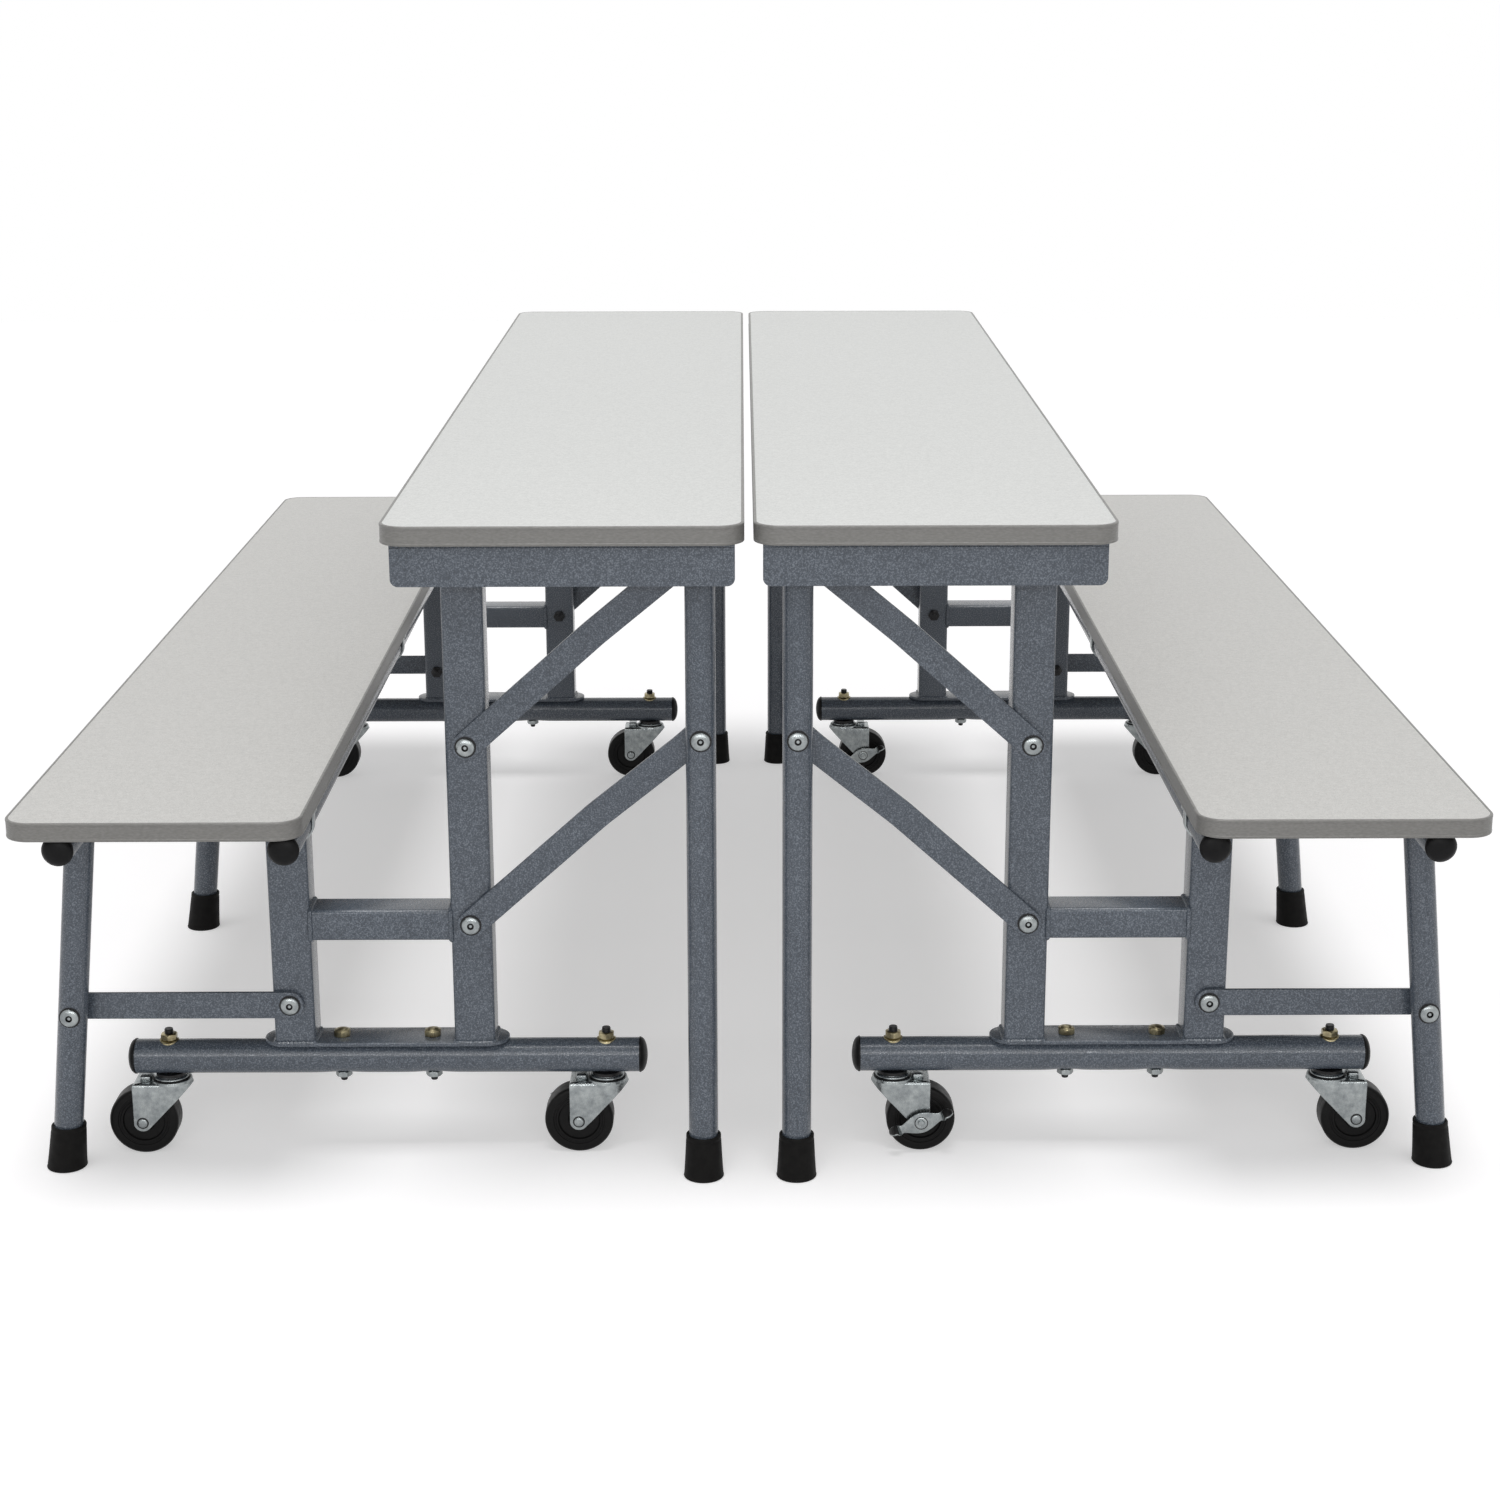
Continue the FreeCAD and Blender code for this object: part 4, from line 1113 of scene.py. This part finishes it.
def wheelShape():
    half, hub, ring, edge = wheel["half"], wheel["hub"], wheel["ring"], wheel["shoulder"]
    sunk = half - wheel["web"]
    side = [(wheel["bore"], half), (hub - 0.6 * mm, half), (hub, half - 0.6 * mm), (hub + 1.6 * mm, sunk),
            (ring - 1.8 * mm, sunk), (ring - 0.6 * mm, half - 1.2 * mm), (ring + 1.4 * mm, half - 1.0 * mm),
            (ring + 2.2 * mm, half - 1.7 * mm), (ring + 4.0 * mm, half - 1.5 * mm),
            (ring + 4.6 * mm, half - 0.6 * mm)]
    side = np.vstack([side, arc(wheelRadius - edge, half - edge, edge, 84, 6, 7),
                      [(wheelRadius, half - edge - 2 * mm)]])
    profile = np.vstack([side * (1, -1), [(wheelRadius, 0)], side[::-1]])
    return placed(turned(profile, 72), wheelMiddle, towardBack)


lever = {"half": 37 * mm, "flat": 22 * mm, "thick": 2 * mm, "belly": 11.4 * mm, "neck": 4.6 * mm,
         "pedal": 6.3 * mm, "tipFrom": 0.6, "easeTo": 0.45, "treadFrom": 0.3, "swing": 62.0, "tilt": -20.0,
         "face": 24.5 * mm}


# The brake wing: an eye-shaped plate past the axle, half width neck + (belly - neck) cos^1.3,
# whose lower edge swings outwards about the upper one at both ends to make two treads
def wingPlate():
    flat, end, neck, thick = lever["flat"], lever["half"], lever["neck"], lever["thick"]
    along = np.linspace(-end, end, 97)
    share = np.clip(np.abs(along) / flat, 0, 1)
    past = np.clip((np.abs(along) - flat) / (end - flat), 0, 1)
    belly = neck + (lever["belly"] - neck) * np.cos(share * np.pi / 2) ** 1.3
    pedal = neck + (lever["pedal"] - neck) * np.sin(past * np.pi)
    tip = np.clip(past - lever["tipFrom"], 0, 1) / (1 - lever["tipFrom"])
    half = (np.where(past > 0, pedal, belly) * np.sqrt(np.clip(1 - tip ** 2 * 0.8, 0, 1)))[:, None]
    ease = np.clip(past / lever["easeTo"], 0, 1)
    swing = (np.radians(lever["swing"]) * ease ** 2 * (3 - 2 * ease))[:, None]
    deep, edge = 3 * mm, 0.5 * mm
    across, level = rectangle(-thick / 2, thick / 2, -deep, deep, edge, 3).T
    below = np.sign(level) * (half - deep) + level - half
    out = thick / 2 + across * np.cos(swing) - below * np.sin(swing)
    up = half + across * np.sin(swing) + below * np.cos(swing)
    plate = loft(gridOf(along[:, None], out, up))
    # Along each tread one strip of faces takes the dark finish: a painted dark reflection on the tread's top
    upper = len(across) // 2 - 1
    for ring in np.flatnonzero((past[1:] + past[:-1]) / 2 > lever["treadFrom"]).tolist():
        plate["finish"][ring * len(across) + upper] = 1
    return plate


def brakeWing():
    thick, tilt = lever["thick"], math.radians(lever["tilt"])
    rivet = turned([(6.5 * mm, -6 * mm), (6.5 * mm, thick + 0.3 * mm), (5.9 * mm, thick + 0.7 * mm),
                    (4.6 * mm, thick + 0.8 * mm), (3.6 * mm, thick + 0.4 * mm), (3.2 * mm, thick + 1.7 * mm),
                    (1.4 * mm, thick + 2.1 * mm)], 40)
    # A thin dark ring round the rivet is painted shade where the rivet meets the plate
    rivetShadeTop = thick + 0.15 * mm
    rivetShade = turned([(7.5 * mm, thick - 0.5 * mm), (7.5 * mm, rivetShadeTop), (5 * mm, rivetShadeTop)], 40)
    parts = joined([wingPlate(), placed(joined([rivet, finished(rivetShade, 1)]), origin, towardBack)])
    return placed(parts, (-trail, lever["face"], wheelRadius), ((math.cos(tilt), 0, math.sin(tilt)), yAxis))


casterParts = {"fork": ("caster_fork", forkParts(), "zinc_steel", [zinc, oxideAndShade]),
               "wheel": ("caster_wheel", wheelShape(), "wheel_rubber", [tread]),
               "brake": ("brake_wing", brakeWing(), "zinc_steel", [zinc, oxideAndShade])}
for spot in ("front_outer", "front_inner", "rear_outer", "rear_inner"):
    stemFoot = pivot(spot + "_swivel") * (1, 1, 0)
    for part, (name, item, slot, finishes) in casterParts.items():
        if part != "brake" or spot.endswith("inner"):
            node = f"{spot}_{part}"
            addPair(f"{spot}_{name}", shifted(item, stemFoot), node, node, finishes)
print("casters made")

# Stage: a surround that looks white but lights the object less, a floor that keeps the
# object's shadow, a broad soft sun above, and a wide and a narrow lamp in front
stage = {"floor": 14.0, "paper": "#dcdbdc", "lift": 0.41, "surround": 0.35}
lamps = {"sun_above": {"place": (0.0, -0.55, 4.0), "target": (0.0, 0.0, 0.0), "power": 1.62,
                       "wide": 22.0},
         "lamp_front": {"place": (0.0, -4.6, 2.4), "target": (0.0, 0.0, 0.4), "power": 24.0,
                        "size": (3.6, 1.4)},
         "lamp_strip": {"place": (0.0, -4.4, 1.6), "target": (0.0, 0.0, 0.2), "power": 26.0,
                        "size": (4.4, 0.06)}}
view = {"place": (-0.0067, -3.5616, 1.2530), "down": 15.723, "yaw": 0.002735, "roll": -0.002194,
        "focal": 2726.1, "frame": 1500, "sensor": 36.0}
white = (1, 1, 1, 1)


# One for rays from the camera, from gloss and through glass, nothing for light on the object
def seenRays(tree):
    path = addNode(tree, "ShaderNodeLightPath")
    seen = path.outputs["Is Camera Ray"]
    for kind in ("Is Glossy Ray", "Is Transmission Ray"):
        seen = addNode(tree, "ShaderNodeMath", {0: seen, 1: path.outputs[kind]}, operation="MAXIMUM")
        seen = seen.outputs["Value"]
    return seen


def surround():
    world = bpy.data.worlds.new("studio")
    bpy.context.scene.world = world
    world.use_nodes = True
    tree = world.node_tree
    tree.nodes.clear()
    lit = addNode(tree, "ShaderNodeBackground", {"Color": white, "Strength": stage["surround"]})
    shown = addNode(tree, "ShaderNodeBackground", {"Color": white, "Strength": 1.0})
    mixed = addNode(tree, "ShaderNodeMixShader", {0: seenRays(tree), 1: lit.outputs["Background"],
                                                  2: shown.outputs["Background"]})
    addNode(tree, "ShaderNodeOutputWorld", {"Surface": mixed.outputs["Shader"]})


def floorPaper():
    material, tree = startMaterial("white_paper_sweep")
    lift = addNode(tree, "ShaderNodeMath", {0: seenRays(tree), 1: stage["lift"]}, operation="MULTIPLY")
    paper = addNode(tree, "ShaderNodeBsdfDiffuse", {"Color": linear(stage["paper"])})
    glow = addNode(tree, "ShaderNodeEmission", {"Color": white, "Strength": lift.outputs["Value"]})
    both = addNode(tree, "ShaderNodeAddShader", {0: paper.outputs["BSDF"], 1: glow.outputs["Emission"]})
    addNode(tree, "ShaderNodeOutputMaterial", {"Surface": both.outputs["Shader"]})
    return material


def addFloor():
    half = stage["floor"] / 2
    data = bpy.data.meshes.new("studio_floor")
    corners = [(-half, -half, 0), (half, -half, 0), (half, half, 0), (-half, half, 0)]
    data.from_pydata(corners, [], [(0, 1, 2, 3)])
    data.materials.append(floorPaper())
    addObject("studio_floor", data)


# A frame whose third axis is the given one and whose first is level, rolled about the third
def turnedTo(back, place, roll=0.0):
    third = unit(np.asarray(back, float))
    first = unit(np.cross(zAxis, third))
    second = np.cross(third, first)
    rows = np.eye(4)
    rows[:3, 0] = first * math.cos(roll) + second * math.sin(roll)
    rows[:3, 1] = second * math.cos(roll) - first * math.sin(roll)
    rows[:3, 2], rows[:3, 3] = third, place
    return Matrix(rows.tolist())


def addLamp(name, place, target, power, size=None, wide=0.0):
    lamp = bpy.data.lights.new(name, "AREA" if size else "SUN")
    lamp.energy = power
    if size:
        lamp.shape = "RECTANGLE"
        lamp.size, lamp.size_y = size
    else:
        lamp.angle = math.radians(wide)
    thing = addObject(name, lamp)
    thing.visible_camera = False
    thing.matrix_world = turnedTo(np.array(place) - np.array(target), place)


def addCamera():
    down, yaw = math.radians(view["down"]), view["yaw"]
    forward = np.array([math.sin(yaw) * math.cos(down), math.cos(yaw) * math.cos(down), -math.sin(down)])
    camera = bpy.data.cameras.new("main_camera")
    camera.sensor_width = view["sensor"]
    camera.lens = view["focal"] * view["sensor"] / view["frame"]
    thing = addObject("main_camera", camera)
    thing.matrix_world = turnedTo(-forward, view["place"], view["roll"])
    bpy.context.scene.camera = thing


surround()
addFloor()
for name, lamp in lamps.items():
    addLamp(name, **lamp)
addCamera()
bpy.context.scene.view_settings.view_transform = "Standard"
print("stage and camera made")
